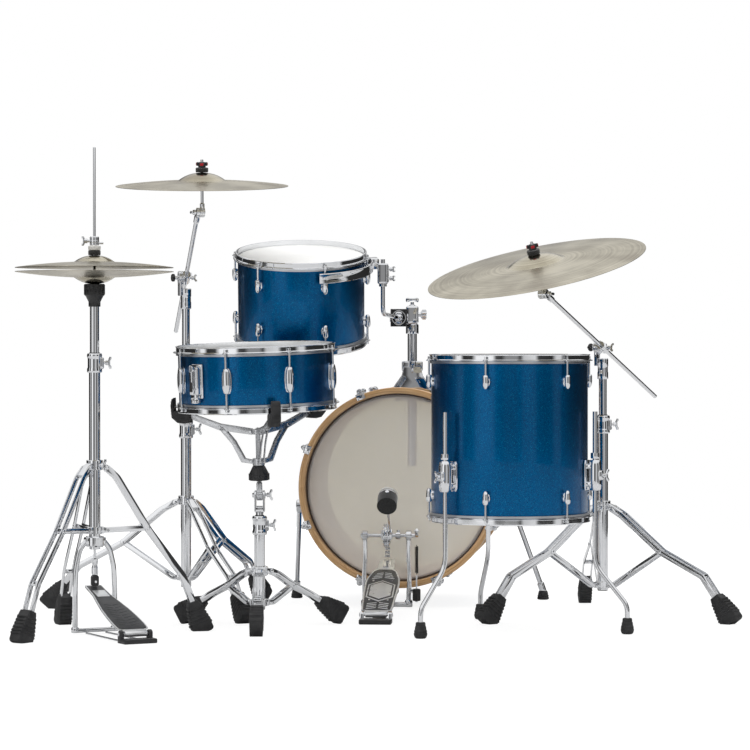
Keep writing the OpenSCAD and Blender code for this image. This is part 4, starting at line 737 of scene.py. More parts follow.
whole = bmesh.new()
at_snare = shift(*snare_stand, 0)
lathe(whole, [(7.3, 120), (8.5, 120.5), (8.5, 266), (7.3, 266)], 40, at_snare)
brick(whole, 24, 22, 15, 4, at_snare @ lift(265), bevels=3)
for s in (-1, 1):
    cheek = [(-11, -36), (11, -36), (11, 0), (7.8, 7.8), (0, 11), (-7.8, 7.8), (-11, 0)]
    slab(whole, cheek, 4.6, 1, at_snare @ shift(s * 9.7, 0, 305) @ turn("Z", 90) @ upright)
    rod(whole, 8, 1.6, 32, at_snare @ shift(s * 11.8, 0, 305) @ turn("Y", s * 90), edge=0.6)
rod(whole, 3, 30, 20, in_basket @ shift(-15, 0, 0) @ along_x)
wing(whole, in_basket @ shift(13, 0, 0), 6, 26)
rod(whole, 5, 5, 6, in_basket @ shift(-12, 0, 0) @ turn("Y", -90))
finished("snare_stand_fork", whole, "snare_stand", [chrome], ["snare_stand_upper"])

# ---------------------------------------------------------------- floor tom
# A deep lacquered shell stands on three bent legs, each clamped in a cast bracket by a
# wing screw and shod with a round rubber foot.
floor_tom_at = shift(291, -350, 0)
in_floor_tom = floor_tom_at @ lift(261)
floor_r, floor_depth = 178, 356
floor_lugs_at = [60 * i - 109 for i in range(6)]
drum_shell("floor_tom_body", "kit", in_floor_tom, floor_r, floor_depth, "floor_tom_shell")
drum_heads("floor_tom_films", "kit", in_floor_tom, floor_r, floor_depth, "floor_tom_heads")
steel_hoops("floor_tom_rims", "kit", in_floor_tom, floor_r, floor_depth, floor_lugs_at, "floor_tom_hoops")
bullet_lugs("floor_tom_bullet_lugs", "kit", in_floor_tom, floor_r, floor_depth, floor_lugs_at,
    "floor_tom_lugs")

whole = bmesh.new()
leg_angles = [("left", -138.2), ("right", -18), ("rear", 101.8)]
leg_r, foot_r, bracket_z = 200, 275, 356.5
for side, angle in leg_angles:
    bracket = floor_tom_at @ turn("Z", angle)
    foot = [(-16, -34), (16, -34), (20, -26), (20, 26), (16, 34), (-16, 34), (-20, 26), (-20, -26)]
    slab(whole, foot, 6, 2, bracket @ shift(181, 0, bracket_z) @ along_x @ turn("Z", 90))
    lathe(whole, [(5.6, -34.5), (11, -34.5), (13.5, -31), (14.6, -20), (14.6, 20), (13.5, 31), (11, 34.5),
        (5.6, 34.5)], 40, bracket @ shift(leg_r, 0, bracket_z))
    for s in (-1, 1):
        brick(whole, 18, 26, 12, 4, bracket @ shift(189, 0, bracket_z - 6 + s * 20), bevels=3)
    brick(whole, 15, 20, 22, 4, bracket @ shift(211, 0, bracket_z - 11), bevels=3)
    wing(whole, bracket @ shift(214, 0, bracket_z), 8, 28)
finished("floor_tom_leg_brackets", whole, "kit", [chrome], ["floor_tom_brackets"])

for side, angle in leg_angles:
    whole = bmesh.new()
    leg = floor_tom_at @ turn("Z", angle)
    set_in(whole, bent_bar([(leg_r, 0, 500), (leg_r, 0, 155), (foot_r, 0, 64), (foot_r, 0, 30)], 5.5, 26),
        leg)
    lathe(whole, [(5.6, 388), (9.5, 388), (10, 390), (10, 399), (9.5, 401), (5.6, 401)], 36,
        leg @ shift(leg_r, 0, 6))
    for height in (240, 250, 260):
        lathe(whole, [(5.4, height), (5.56, height + 1), (5.4, height + 2)], 24, leg @ shift(leg_r, 0, 0))
    lathe(whole, [(0, 0), (10, 0), (13, 2), (15, 8), (15, 12), (14, 13), (14.6, 15), (13.6, 19),
        (12.6, 20), (13, 22), (12, 27), (11, 28), (11.2, 30), (10.6, 35), (9, 36), (5.4, 36), (5.4, 30),
        (0, 30)], 40, leg @ shift(foot_r, 0, 0), 1)
    finished("floor_tom_leg_" + side + "_rod", whole, "floor_tom_leg_" + side, [chrome, rubber],
        ["floor_tom_leg_" + side])

# ---------------------------------------------------------------- tripods
# Every leg is a pair of bent steel strips riveted to a sliding collar. Two short braces tie
# it to a lower hub, and a flat rubber boot with ribs closes its foot.
crash_stand, ride_stand, hihat_stand = (-475, 125), (531, 15), (-646, -425)
# Each row: the place, the heights of collar and hub, the legs' directions, a leg's line
tripods = (
    (hihat_stand, 380, 225, (16, 113, 235), [(26, 374), (50, 352), (120, 236), (202, 126), (226, 62)]),
    (crash_stand, 271, 75, (166, -64, 60), [(26, 266), (60, 248), (160, 166), (278, 104), (314, 60)]),
    (snare_stand, 131, 50, (-90, 30, 150), [(26, 130), (46, 122), (86, 94), (128, 74), (160, 54)]),
    (ride_stand, 265, 66, (-38, -143, 93), [(26, 260), (60, 242), (168, 160), (284, 108), (322, 58)]))


# The outline of a flat strip that follows points in its own plane, with round ends
def strip_outline(points, width):
    points = [Vector(p) for p in points]
    left, right = [], []
    for i, p in enumerate(points):
        before = (p - points[i - 1]).normalized() if i else (points[1] - p).normalized()
        after = (points[i + 1] - p).normalized() if i < len(points) - 1 else before
        across = (Vector((-before.y, before.x)) + Vector((-after.y, after.x))).normalized()
        reach = width / 2 / max(0.5, across.dot(Vector((-before.y, before.x))))
        left.append(p + across * reach)
        right.append(p - across * reach)
    return [tuple(p) for p in left + right[::-1]]


def eased(points, reach=5, steps=3):
    points = [Vector(p) for p in points]
    route = [points[0]]
    for before, corner, after in zip(points, points[1:], points[2:]):
        a, b = (before - corner).normalized(), (after - corner).normalized()
        r = min(reach, 0.4 * (before - corner).length, 0.4 * (after - corner).length)
        route += [corner + a * r * (1 - i / steps) ** 2 + b * r * (i / steps) ** 2
            for i in range(steps + 1)]
    return route + [points[-1]]


def mirrored(points):
    return points + [(-x, y) for x, y in points[::-1]]


legs, braces, collars, boots = bmesh.new(), bmesh.new(), bmesh.new(), bmesh.new()
for at, collar_z, hub_z, directions, line in tripods:
    middle = shift(*at, 0)
    for angle in directions:
        leg = middle @ turn("Z", angle) @ upright
        for s in (-1, 1):
            strip = plate(strip_outline(eased(line), 14), 3, 0.8)
            set_in(legs, strip, leg @ lift(s * 10.5))
        for r, z in (line[0], line[2]):
            for s in (-1, 1):
                lathe(legs, [(0, 0), (4.6, 0), (4.4, 1), (3.4, 1.8), (0, 2.2)], 20,
                    leg @ shift(r, z, s * 12) @ turn("X", 0 if s > 0 else 180))
        low = Vector(line[-1])
        run = (low - Vector(line[-2])).normalized()
        brick(legs, 13, 18, 10, 2, middle @ turn("Z", angle) @ shift(line[-2][0], 0, line[-2][1] - 5))
        root = Vector((22.2, hub_z + 8))
        elbow = root + Vector((10, 0))
        for s in (-1, 1):
            slab(braces, strip_outline(eased([root, elbow, line[2]], 8), 11.5), 2.4, 0.6,
                leg @ lift(s * 7.7))
        middle_point = (elbow + Vector(line[2])) / 2
        rod(braces, 3.2, 16, 16, leg @ shift(middle_point.x, middle_point.y, -8))
        rod(braces, 4, 17.8, 20, leg @ shift(root.x + 7, root.y, -8.9), edge=0.8)
        # The boot is a flat rubber wedge with raised ribs on the end of the leg, cut off level
        # with the floor
        boot = bmesh.new()
        sides = [(-6, 11), (2, 14)]
        for i in range(6):
            reach = 15 + 10 * (i + 0.5) / 6
            rib = 6 + 8 * i
            sides += [(rib, reach - 1), (rib + 1.5, reach + 1.6), (rib + 5, reach + 1.8),
                (rib + 6.5, reach - 0.4)]
        sides += [(58, 24), (64, 24.4), (68, 22), (70, 17)]
        outline = mirrored([(reach, along) for along, reach in sides])
        slab(boot, outline, 29.6, 2.2, upright)
        for i in range(5):
            brick(boot, 2 * (16 + 2 * i), 31.4, 3.4, 1.2, lift(10 + 8 * i))
        boot.transform(middle @ turn("Z", angle) @ shift(low.x, 0, low.y) @ turn("Y", degrees(acos(run.y))))
        cut = bmesh.ops.bisect_plane(boot, geom=boot.verts[:] + boot.edges[:] + boot.faces[:],
            plane_co=(0, 0, 0.01), plane_no=(0, 0, -1), clear_outer=True)
        bmesh.ops.holes_fill(boot, edges=[e for e in cut["geom_cut"] if isinstance(e, bmesh.types.BMEdge)])
        set_in(boots, boot)
    collar = middle @ lift(collar_z)
    lathe(collars, [(12.75, -11), (17.6, -11), (18.7, -9.6), (18.7, -5), (18, -4.4), (18, 4.4), (18.7, 5),
        (18.7, 9.6), (17.6, 11), (12.75, 11)], 48, collar)
    for angle in directions:
        ear = strip_outline([(14, 0), (26, line[0][1] - collar_z + 1), (line[1][0] - 4,
            line[1][1] - collar_z + 3)], 11)
        slab(collars, ear, 17.4, 1.6, collar @ turn("Z", angle) @ upright)
    wing(collars, collar @ turn("Z", directions[0] - 60) @ shift(17, 0, 0), 11, 28)
    hub = middle @ lift(hub_z)
    lathe(collars, [(12.75, 0), (16.8, 0), (17.7, 1), (17.7, 15), (16.8, 16), (12.75, 16)], 48, hub)
    for angle in directions:
        brick(collars, 9, 17.6, 15, 1.6, hub @ turn("Z", angle) @ shift(17.2, 0, 0.5))
finished("tripod_leg_strips", legs, "kit", [chrome], ["tripod_legs"])
finished("tripod_brace_strips", braces, "kit", [chrome], ["tripod_braces"])
finished("tripod_collars_and_hubs", collars, "kit", [chrome], ["tripod_collars"])
finished("tripod_ribbed_boots", boots, "kit", [rubber], ["tripod_feet"], sharp=50)

# ---------------------------------------------------------------- boom stands
# Chromed tubes telescope in cast clamps with black bushes. On top a ratchet hinge holds
# the boom rod, and a second small ratchet at the boom's end tilts the cymbal's post.
whole = bmesh.new()
for at, bore, low, top in (
        (crash_stand, 9.6, 62, 466), (ride_stand, 9.6, 62, 481), (snare_stand, 8.6, 44, 258)):
    tube = shift(*at, 0)
    lathe(whole, [(11.5, low + 0.6), (12.7, low), (12.7, top - 10), (11.5, top - 10)], 48, tube)
    lathe(whole, [(12.4, top - 44), (16, top - 44), (17, top - 42), (17, top - 36), (16, top - 34),
        (15.4, top - 30), (15.4, top - 14), (16, top - 10), (17, top - 8), (17, top - 4), (15.6, top - 1),
        (bore + 1.4, top - 0.6), (bore + 1.4, top - 9), (12.4, top - 9)], 48, tube)
    lathe(whole, [(bore + 0.1, top - 9), (bore + 1.4, top - 9), (bore + 2.2, top - 0.4),
        (bore + 1.8, top + 1), (bore + 0.1, top + 1)], 40, tube, 1)
    brick(whole, 16, 15, 26, 3, tube @ shift(13, 0, top - 36), bevels=3)
    lathe(whole, [(0, -8), (5.2, -8), (5.2, 8), (0, 8)], 6, tube @ shift(17, 0, top - 31) @ upright)
    wing(whole, tube @ shift(20, 0, top - 22), 7, 28)
    lathe(whole, [(0, low - 2), (11.8, low - 2), (12.4, low), (12.4, low + 3), (0, low + 3)], 40, tube, 1)
finished("stand_base_tubes_and_clamps", whole, "kit", [chrome, black_plastic],
    ["stand_base_tubes"])


# Wool felt with short fibres that catch the light
def wool(name, color, low, high, sheen):
    return plain(name, color, 0.95, tone=(500, 5, (0.35, low), (0.7, high)), bumps=(700, 5, 0.0006, 0.7),
        more={"Sheen Weight": sheen})


felt = wool("black_wool_felt", (0.018, 0.018, 0.018), 0.01, 0.04, 0.35)
white_felt = wool("white_wool_felt", (0.75, 0.74, 0.71), (0.62, 0.61, 0.58), (0.82, 0.81, 0.78), 0.3)
red_plastic = plain("red_moulding", (0.42, 0.012, 0.02), 0.35, bumps=(900, 2, 0.0001, 0.3))


def leaned(tilt, roll):
    return turn("Y", -roll) @ turn("X", tilt)


def fluted(whole, place, radius, length, flutes, finish=0):
    lathe(whole, [(0, 0), (radius - 1.6, 0), (radius - 0.4, 1), (radius - 0.4, length - 1.6),
        (radius - 2, length), (0, length)], 36, place, finish)
    ring_of(whole, round_bar(1.3, length - 2.4, 8), flutes, radius - 0.9, 0.8, place, finish)


# Where the cymbals hang, and the height of the hole's lower edge above a cymbal's rim
crash_at, ride_at = (-422, -110, 1023), (355, -304, 826)
bow, bell_rise, half_sheet = 13, 18, 0.7
crown = bow + bell_rise - half_sheet
# How far a boom passes beside its stand's axis
boom_offset = 10
for stand, at, top, middle, tilt, roll, hinge_z, tail, hand in (
        ("crash", crash_stand, 466, crash_at, 6, 0, 812, 0.872, 1),
        ("ride", ride_stand, 481, ride_at, 12, 12, 643, 1.0, -1)):
    cymbal_at = shift(*middle) @ leaned(tilt, roll)
    hinge = cymbal_at @ Vector((0, 0, -62))
    flat_x, flat_y = hinge.x - at[0], hinge.y - at[1]
    reach = sqrt(flat_x ** 2 + flat_y ** 2 - boom_offset ** 2)
    azimuth = degrees(atan2(flat_y, flat_x)) - degrees(asin(hand * boom_offset / hypot(flat_x, flat_y)))
    rise = degrees(atan2(hinge.z - hinge_z, reach))
    length = reach / cos(radians(rise))
    joint = shift(*at, hinge_z) @ turn("Z", azimuth)
    along_boom = joint @ turn("Y", -rise)

    whole = bmesh.new()
    tube = shift(*at, 0)
    lathe(whole, [(8.3, top - 200), (9.5, top - 199), (9.5, hinge_z - 34), (8.3, hinge_z - 34)], 40, tube)
    lathe(whole, [(0, -38), (9.5, -38), (9.5, -76), (12, -76), (13, -74), (13, -60), (12.2, -58),
        (12.2, -46), (13, -44), (13, -28), (11.5, -26), (0, -26)], 40, joint)
    slab(whole, [(-10, -44), (10, -44), (11, -20), (11, 0), (7.8, 7.8), (0, 11), (-7.8, 7.8), (-11, 0),
        (-11, -20)], 8, 2, joint @ shift(0, -15, 0) @ upright)
    lathe(whole, [(0, 0), (14.6, 0), (16, 1.4), (16, 7), (15, 8), (0, 8)], 48, joint @ shift(0, -11, 0)
        @ upright)
    ring_of(whole, block(3, 1.2, 6, 0.3, 1), 30, 14.9, 0, joint @ shift(0, -12, 0) @ upright)
    rod(whole, 2.5, 18, 16, joint @ shift(0, -6.6, 0) @ upright)
    rod(whole, 5, 8, 24, joint @ shift(0, -19, 0) @ upright)
    fluted(whole, joint @ shift(0, -27, 0) @ upright, 9, 9, 12, 1)
    brick(whole, 26, 9, 7, 3, joint @ shift(0, -31.5, -3.5), 1, bevels=3)
    finished(stand + "_upper_tube_and_ratchet", whole, stand + "_upper_tube",
        [chrome, black_plastic], [stand + "_upper_tube"])

    whole = bmesh.new()
    lathe(whole, [(2.6, 6), (14.6, 6), (16, 7.4), (16, 10), (15, 10.9), (2.6, 10.9)], 48,
        along_boom @ upright)
    ring_of(whole, block(3, 1.2, 3.6, 0.3, 1), 30, 14.9, 6.6, along_boom @ upright)
    lathe(whole, [(5.1, -17), (9.4, -17), (10.4, -15.6), (10.4, 15.6), (9.4, 17), (5.1, 17)], 40,
        along_boom @ along_x)
    brick(whole, 20, 8, 14, 3, along_boom @ shift(0, 6, -7), bevels=3)
    lathe(whole, [(0, -5), (4.4, -5), (4.4, 5), (0, 5)], 6, along_boom @ shift(12, 10, 0))
    wing(whole, along_boom @ shift(0, 9, 0) @ turn("Z", 90), 7, 22)
    finished(stand + "_boom_clamp_body", whole, stand + "_boom_clamp", [chrome],
        [stand + "_boom_clamp"])

    whole = bmesh.new()
    back = -tail * length
    lathe(whole, [(0, back), (4.2, back), (5, back + 1), (5, length - 12), (0, length - 12)], 36,
        along_boom @ along_x)
    knurl = bmesh.new()
    lathe(knurl, [(4.9, 0), (5.04, 0.4), (4.9, 0.8)], 16)
    repeat(whole, knurl, [along_boom @ along_x @ lift(back + 4 + 1.6 * i) for i in range(50)])
    lathe(whole, [(4.9, length - 41), (6.4, length - 40), (7, length - 38), (7, length - 18),
        (6, length - 14), (0, length - 14)], 32, along_boom @ along_x)
    lathe(whole, [(3.1, -4), (10, -4), (11, -3), (11, 3), (10, 4), (3.1, 4)], 40,
        along_boom @ shift(length, 0, 0) @ upright)
    finished(stand + "_boom_rod", whole, stand + "_boom", [chrome], [stand + "_boom"])

    # The tilter: toothed disc, screw, post, cup, two felts and a wing nut with red flanks
    whole = bmesh.new()
    disc = joint @ shift(reach, 0, hinge.z - hinge_z)
    near = 4.1 if hand > 0 else -16
    lathe(whole, [(0, 0), (10, 0), (11, 1), (11, 10.8), (10, 11.9), (0, 11.9)], 40,
        disc @ shift(0, near, 0) @ turn("X", -90))
    ring_of(whole, block(2.4, 1.2, 9, 0.3, 1), 20, 10.2, 0, disc @ shift(0, near + 1.4, 0) @ turn("X", -90))
    rod(whole, 3, 18, 20, disc @ shift(0, -10 if hand > 0 else -6, 0) @ turn("X", -90))
    head = disc @ shift(0, -8 if hand > 0 else 8, 0) @ turn("X", 90 if hand > 0 else -90)
    lathe(whole, [(0, -2.2), (6, -2.2), (6.4, 0), (6, 4), (0, 5)], 28, head)
    slab(whole, [(-9, -2), (-4, -3.4), (4, -3.4), (9, -2), (9, 2), (4, 3.4), (-4, 3.4), (-9, 2)], 7, 1.4,
        head @ lift(7))
    lathe(whole, [(0, -62), (5, -62), (5.5, -61), (5.5, -42), (3.5, -39), (3.5, crown + 30),
        (2.6, crown + 32.4), (0, crown + 32.4)], 28, cymbal_at)
    threads = [(0, crown + 13), (3.4, crown + 13)] + [((3.62 if i % 2 else 3.3), crown + 13.5 + i * 0.6)
        for i in range(28)]
    lathe(whole, threads + [(3.3, crown + 31), (0, crown + 31)], 20, cymbal_at)
    lathe(whole, [(3.6, crown - 19), (7, crown - 19), (12.2, crown - 17), (13, crown - 15.2),
        (3.6, crown - 15.2)], 36, cymbal_at)
    lathe(whole, [(3.6, crown - 14.8), (13, crown - 14.8), (14.8, crown - 13), (15, crown - 8),
        (14.2, crown - 5), (10, crown - 2.6), (3.6, crown - 0.8)], 40, cymbal_at, 1)
    lathe(whole, [(3.6, crown + 2.4), (14, crown + 2.4), (15, crown + 4), (15, crown + 11.6),
        (13.6, crown + 13.2), (3.6, crown + 13.2)], 40, cymbal_at, 1)
    nut = cymbal_at @ lift(crown + 13.6)
    lathe(whole, [(3.6, 0), (8.4, 0), (9, 1), (8.6, 10), (7, 12.6), (3.6, 12.6)], 32, nut, 2)
    for s in (-1, 1):
        brick(whole, 6.5, 5.4, 9, 2, nut @ shift(s * 10, 0, 3.6), 2, bevels=3)
        brick(whole, 1.2, 4, 6.6, 0.5, nut @ shift(s * 13.4, 0, 4.8), 3)
        brick(whole, 8, 1, 6, 0.4, nut @ shift(0, s * 8.5, 4), 3)
    finished(stand + "_tilter_felts_and_nut", whole, stand + "_tilter", [chrome, felt,
        black_plastic, red_plastic], [stand + "_tilter"])

# ---------------------------------------------------------------- cymbals
# Each cymbal is a hammered and lathed bronze plate: a low bow with a smooth raised bell
# and a hole in the middle, left free to rock on the felts.
def lathed_bronze(name, place, radius, bell):
    bronze, tree, shader = coated(name, (0.66, 0.6, 0.44), 0.24, 1.0, {"Anisotropic": 0.5})
    centre = [v * 0.001 for v in place.to_translation()]
    from_centre = round_axis(tree, centre, place.to_euler())[1]
    spread = new_node(tree, "Math", {0: from_centre, 1: 1000 / radius}, operation="MULTIPLY").outputs[0]
    # Fine grooves and broader tonal rings, both as noise along the radius
    groove, ring = [new_node(tree, "TexNoise", {"W": spread, "Scale": scale, "Detail": 3},
        noise_dimensions="1D").outputs["Fac"] for scale in (170, 38)]
    mix = new_node(tree, "Math", {0: ring, 1: 0.45, 2: speckle(tree, 11, 4)}, operation="MULTIPLY_ADD")
    on_bell = ramp(tree, spread, [(bell - 0.02, 0.13), (bell + 0.02, 0.3)])
    feed(shader, {"Roughness": on_bell, "Base Color": ramp(tree, mix.outputs[0], [
        (0.5, (0.33, 0.29, 0.22)), (0.72, (0.5, 0.46, 0.36)), (0.92, (0.66, 0.61, 0.49))])})
    quiet = new_node(tree, "Math", {0: on_bell, 1: groove}, operation="MULTIPLY")
    raised(shader, quiet.outputs[0], 0.0012, 0.55)
    return bronze


# A cymbal's section: a low bow, a bell that rises from it, and sheet that thins at the rim
def cymbal_outline(d, bell_d, bell, steps=60):
    def height(r):
        return bow * (1 - (2 * r / d) ** 2) + (bell * (1 - (2 * r / bell_d) ** 2.4)
            if 2 * r < bell_d else 0)
    radii = [6.5 + (d / 2 - 6.5) * i / steps for i in range(steps + 1)]
    top = [(r, height(r) + (half_sheet if r < d / 2 - 1 else 0.45)) for r in radii]
    return top + [(r, height(r) - (half_sheet if r < d / 2 - 1 else 0.45)) for r in radii[::-1]]


hihat = shift(*hihat_stand, 0)
hihat_z, hihat_bell = 824, 14
for name, body, place, d, bell_d, bell, node in (("crash_cymbal_plate", "crash_cymbal", shift(*crash_at)
        @ leaned(6, 0), 406, 113.7, bell_rise, "crash_cymbal"), ("ride_cymbal_plate", "ride_cymbal",
        shift(*ride_at) @ leaned(12, 12), 508, 132, bell_rise, "ride_cymbal"), ("hihat_top_plate",
        "hihat_top", hihat @ lift(hihat_z), 356, 92, hihat_bell, "hihat_top_cymbal"),
        ("hihat_bottom_plate", "hihat_stack", hihat @ lift(hihat_z - 9) @ turn("X", 180), 356, 92,
        hihat_bell, "hihat_bottom_cymbal")):
    whole = bmesh.new()
    lathe(whole, cymbal_outline(d, bell_d, bell), 160, place)
    finished(name, whole, body, [lathed_bronze(name + "_bronze", place, d / 2, bell_d / d)],
        [node], sharp=60)

# ---------------------------------------------------------------- hi-hat stand
# A two-part tube rises from a yoke of bent bars. The footboard pulls a rod that runs up
# through the tube, and a clutch on the rod carries the top cymbal between two felts.
def heel_cheeks(whole, place, x, finish, bolt_finish):
    cheek = [(-8, -20), (8, -20), (8, 0), (5.7, 5.7), (0, 8), (-5.7, 5.7), (-8, 0)]
    for s in (-1, 1):
        slab(whole, cheek, 9.6, 1.4, place @ shift(s * x, 0, 0) @ turn("Z", 90) @ upright, finish)
        rod(whole, 4.4, 2, 6, place @ shift(s * (x + 4.4), 0, 0) @ turn("Y", s * 90), bolt_finish)


in_hihat_pedal = hihat @ turn("Z", 28)
whole = bmesh.new()
lathe(whole, [(11.5, 190), (12.7, 190.6), (12.7, 622), (11.5, 622)], 48, hihat)
lathe(whole, [(12.4, 588), (16, 588), (17, 590), (17, 596), (15.4, 600), (15.4, 618), (16, 622), (17, 624),
    (17, 628), (15.6, 631), (11.9, 631.4), (11.9, 622.6), (12.4, 622.6)], 48, hihat)
lathe(whole, [(10.55, 622.8), (11.9, 622.8), (12.6, 631.6), (12.2, 633), (10.55, 633)], 40, hihat, 1)
brick(whole, 16, 15, 26, 3, hihat @ shift(13, 0, 596), bevels=3)
wing(whole, hihat @ shift(20, 0, 610), 7, 28)
lathe(whole, [(12.75, 196), (19, 196), (21, 199), (21, 217), (19, 220), (12.75, 220)], 44, in_hihat_pedal)
for s in (-1, 1):
    brick(whole, 14, 20, 18, 3, in_hihat_pedal @ shift(s * 17, 0, 200), bevels=3)
    set_in(whole, bent_bar([(s * 18, 0, 212), (s * 36, 0, 192), (s * 46, 0, 150), (s * 48, 0, 100),
        (s * 48, 0, 10)], 6, 14), in_hihat_pedal)
    set_in(whole, bent_bar([(s * 24, -8, 3), (s * 25, -100, 3), (s * 26, -226, 3)], 2, 10), in_hihat_pedal)
    lathe(whole, [(0, 4), (8, 4), (8.6, 6), (8.6, 14), (7.4, 16), (0, 16)], 32,
        in_hihat_pedal @ shift(s * 48, 0, 0))
brick(whole, 108, 14, 9, 2.4, in_hihat_pedal @ lift(4), bevels=3)
slab(whole, [(-38, -17), (38, -17), (39, -12), (39, 10), (34, 17), (-34, 17), (-39, 10), (-39, -12)], 10.4,
    2, in_hihat_pedal @ shift(0, -244, 5.3), 1)
hihat_heel = in_hihat_pedal @ shift(0, -228, 20)
heel_cheeks(whole, hihat_heel, 34, 1, 0)
finished("hihat_frame_and_tube", whole, "kit", [chrome, black_plastic], ["hihat_base"])

# Cast boards: dark satin metal with bright worn edges and rows of raised grip bars
dark_casting = plain("dark_casting", (0.035, 0.036, 0.038), 0.42, 0.2, tone=(45, 4,
    (0.3, (0.022, 0.023, 0.025)), (0.7, (0.05, 0.051, 0.054))), bumps=(1100, 3, 0.0002, 0.5))
bare_casting = plain("bare_casting", (0.8, 0.81, 0.82), 0.33, 0.9, gloss=(70, 4, (0.3, 0.26), (0.7, 0.42)),
    bumps=(900, 3, 0.0002, 0.4))





# A board in its own plane: a rim, a sunk panel and bars across it; +Y runs up to the toe
board_slope = degrees(atan2(81, 236))
board = hihat_heel @ turn("X", board_slope)
whole = bmesh.new()
edge = [(28, 2), (28, 11), (36.5, 16), (38, 40), (37, 80), (34, 120), (27, 170), (22, 200), (20.6, 252),
    (18, 257)]
slab(whole, mirrored(edge), 4, 1, board @ lift(4))
inner = [(x - 3.4, min(max(y, 6), 250)) for x, y in edge[1:-1]]
slab(whole, mirrored(inner), 1.6, 0.7, board @ lift(6.2), 1)
for i in range(9):
    y = 34 + 13.5 * i
    half_width = 28 - max(0, y - 80) * 0.13
    for s in (-1, 1):
        brick(whole, half_width * 0.86, 3, 1.6, 0.7, board @ shift(s * half_width * 0.45, y, 6)
            @ turn("Z", s * 24), 1)
brick(whole, 30, 34, 1.8, 0.9, board @ shift(0, 205, 6.2), bevels=3)
rod(whole, 3, 78, 20, hihat_heel @ shift(-39, 0, 0) @ along_x)
lathe(whole, [(3.2, -26), (6.4, -26), (7, -25), (7, 25), (6.4, 26), (3.2, 26)], 32, hihat_heel @ along_x)
finished("hihat_grip_footboard", whole, "hihat_footboard",
    [bare_casting, dark_casting, chrome], ["hihat_footboard"])

whole = bmesh.new()
lathe(whole, [(9.3, 470), (10.5, 471), (10.5, 742), (9.3, 742)], 40, hihat)
finished("hihat_upper_tube_chrome", whole, "hihat_stack", [chrome], ["hihat_upper_tube"])

whole = bmesh.new()
lathe(whole, [(10.6, 736), (12.6, 736), (13.5, 737), (13.5, 747), (15, 750), (20, 760), (21.6, 761),
    (23, 763), (23, 770), (22, 771), (22, 774), (23, 775), (23, 786.4), (21, 787.4), (4.6, 787.4),
    (4.6, 796), (3.4, 796), (3.4, 744), (10.6, 742.2)], 48, hihat)
ring_of(whole, block(1.4, 3, 22, 0.5), 16, 23, 763.6, hihat)
finished("hihat_cymbal_seat", whole, "hihat_stack", [black_plastic, felt], ["hihat_seat"])

whole = bmesh.new()
lathe(whole, [(0, 168), (3, 168), (3, 1093), (2.2, 1094.8), (0, 1095)], 28, hihat)
lathe(whole, [(0, 132), (6, 132), (7, 133.4), (7, 150), (6, 152), (6, 156), (7, 158), (7, 168), (5, 170),
    (0, 170)], 32, hihat)
ring_of(whole, round_bar(1, 14, 8), 12, 6.8, 135, hihat)
link = in_hihat_pedal @ lift(108)
slab(whole, [(-8.5, 3), (-6, 0), (6, 0), (8.5, 3), (8.5, 20), (4, 25), (-4, 25), (-8.5, 20)], 11.6, 1.8,
    link @ upright, 1)
rod(whole, 3, 14, 20, link @ shift(0, 7, 9) @ upright)
finished("hihat_rod_and_connector", whole, "hihat_rod", [chrome, black_plastic],
    ["hihat_pull_rod"])

whole = bmesh.new()
under = hihat_z + bow + hihat_bell - half_sheet
lathe(whole, [(3.06, under - 13), (10.6, under - 13), (12, under - 11.6), (12, under - 5.4),
    (10.6, under - 4), (5.4, under - 4), (5.4, 874), (3.06, 874)], 36, hihat)
ring_of(whole, block(1.6, 1, 6, 0.3, 1), 16, 11.8, under - 11.6, hihat)
lathe(whole, [(3.06, 873.8), (9, 873.8), (10.5, 875.4), (10.5, 892), (9, 894), (3.06, 894)], 40, hihat)
lathe(whole, [(10.5, 880), (10.9, 881), (10.9, 884), (10.5, 885)], 40, hihat)
wing(whole, hihat @ shift(-9, 0, 884) @ turn("Z", 180), 9, 22)
rod(whole, 2.6, 11, 16, hihat @ shift(9, 0, 879) @ along_x)
lathe(whole, [(5.5, under - 3.2), (13.6, under - 3.2), (14, under - 2.6), (13.6, under - 1.8),
    (5.5, under - 1.8)], 40, hihat, 2)
over = under + 1.7
lathe(whole, [(5.5, over), (13, over), (14, over + 1.6), (14, over + 9.6), (13, over + 11),
    (5.5, over + 11)], 40, hihat, 1)
lathe(whole, [(5.5, over + 11.4), (13, over + 11.4), (14, 865.6), (14, 872), (12.8, 873.4), (5.5, 873.4)],
    40, hihat, 2)
finished("hihat_clutch_and_felts", whole, "hihat_top", [chrome, felt, white_felt],
    ["hihat_clutch"])

# ---------------------------------------------------------------- bass drum pedal
# A ridged cast footboard pulls a chain over a round cam. The cam's shaft runs in two posts
# and swings a felt-faced beater; a coil spring at the right side brings it back.
in_pedal = shift(14, 200, 0) @ turn("Z", -4)
shaft = in_pedal @ lift(180)
whole = bmesh.new()
for s in (-1, 1):
    set_in(whole, bent_bar([(s * 54, 0, 6), (s * 54, 0, 30), (s * 56, 4, 76), (s * 53, 0, 130),
        (s * 54, 0, 172)], 6, 24), in_pedal)
    bearing = shaft @ shift(s * 54 - 7, 0, 0) @ along_x
    lathe(whole, [(5.1, 0), (11.6, 0), (13, 1.4), (13, 12.6), (11.6, 14), (5.1, 14)], 44, bearing)
    lathe(whole, [(7, -0.8), (9.6, -0.8), (9.6, 14.8), (7, 14.8)], 36, bearing)
    lathe(whole, [(0, 4.3), (8.6, 4.3), (9.4, 6), (9.4, 18), (7, 22), (0, 22)], 32,
        in_pedal @ shift(s * 54, 0, 0))
brick(whole, 124, 16, 11.6, 3, in_pedal @ lift(4.4), bevels=3)
brick(whole, 23, 8, 10, 2.4, in_pedal @ shift(66, -8.5, 40), bevels=3)
rod(whole, 2, 40, 14, in_pedal @ shift(74, -12, 44))
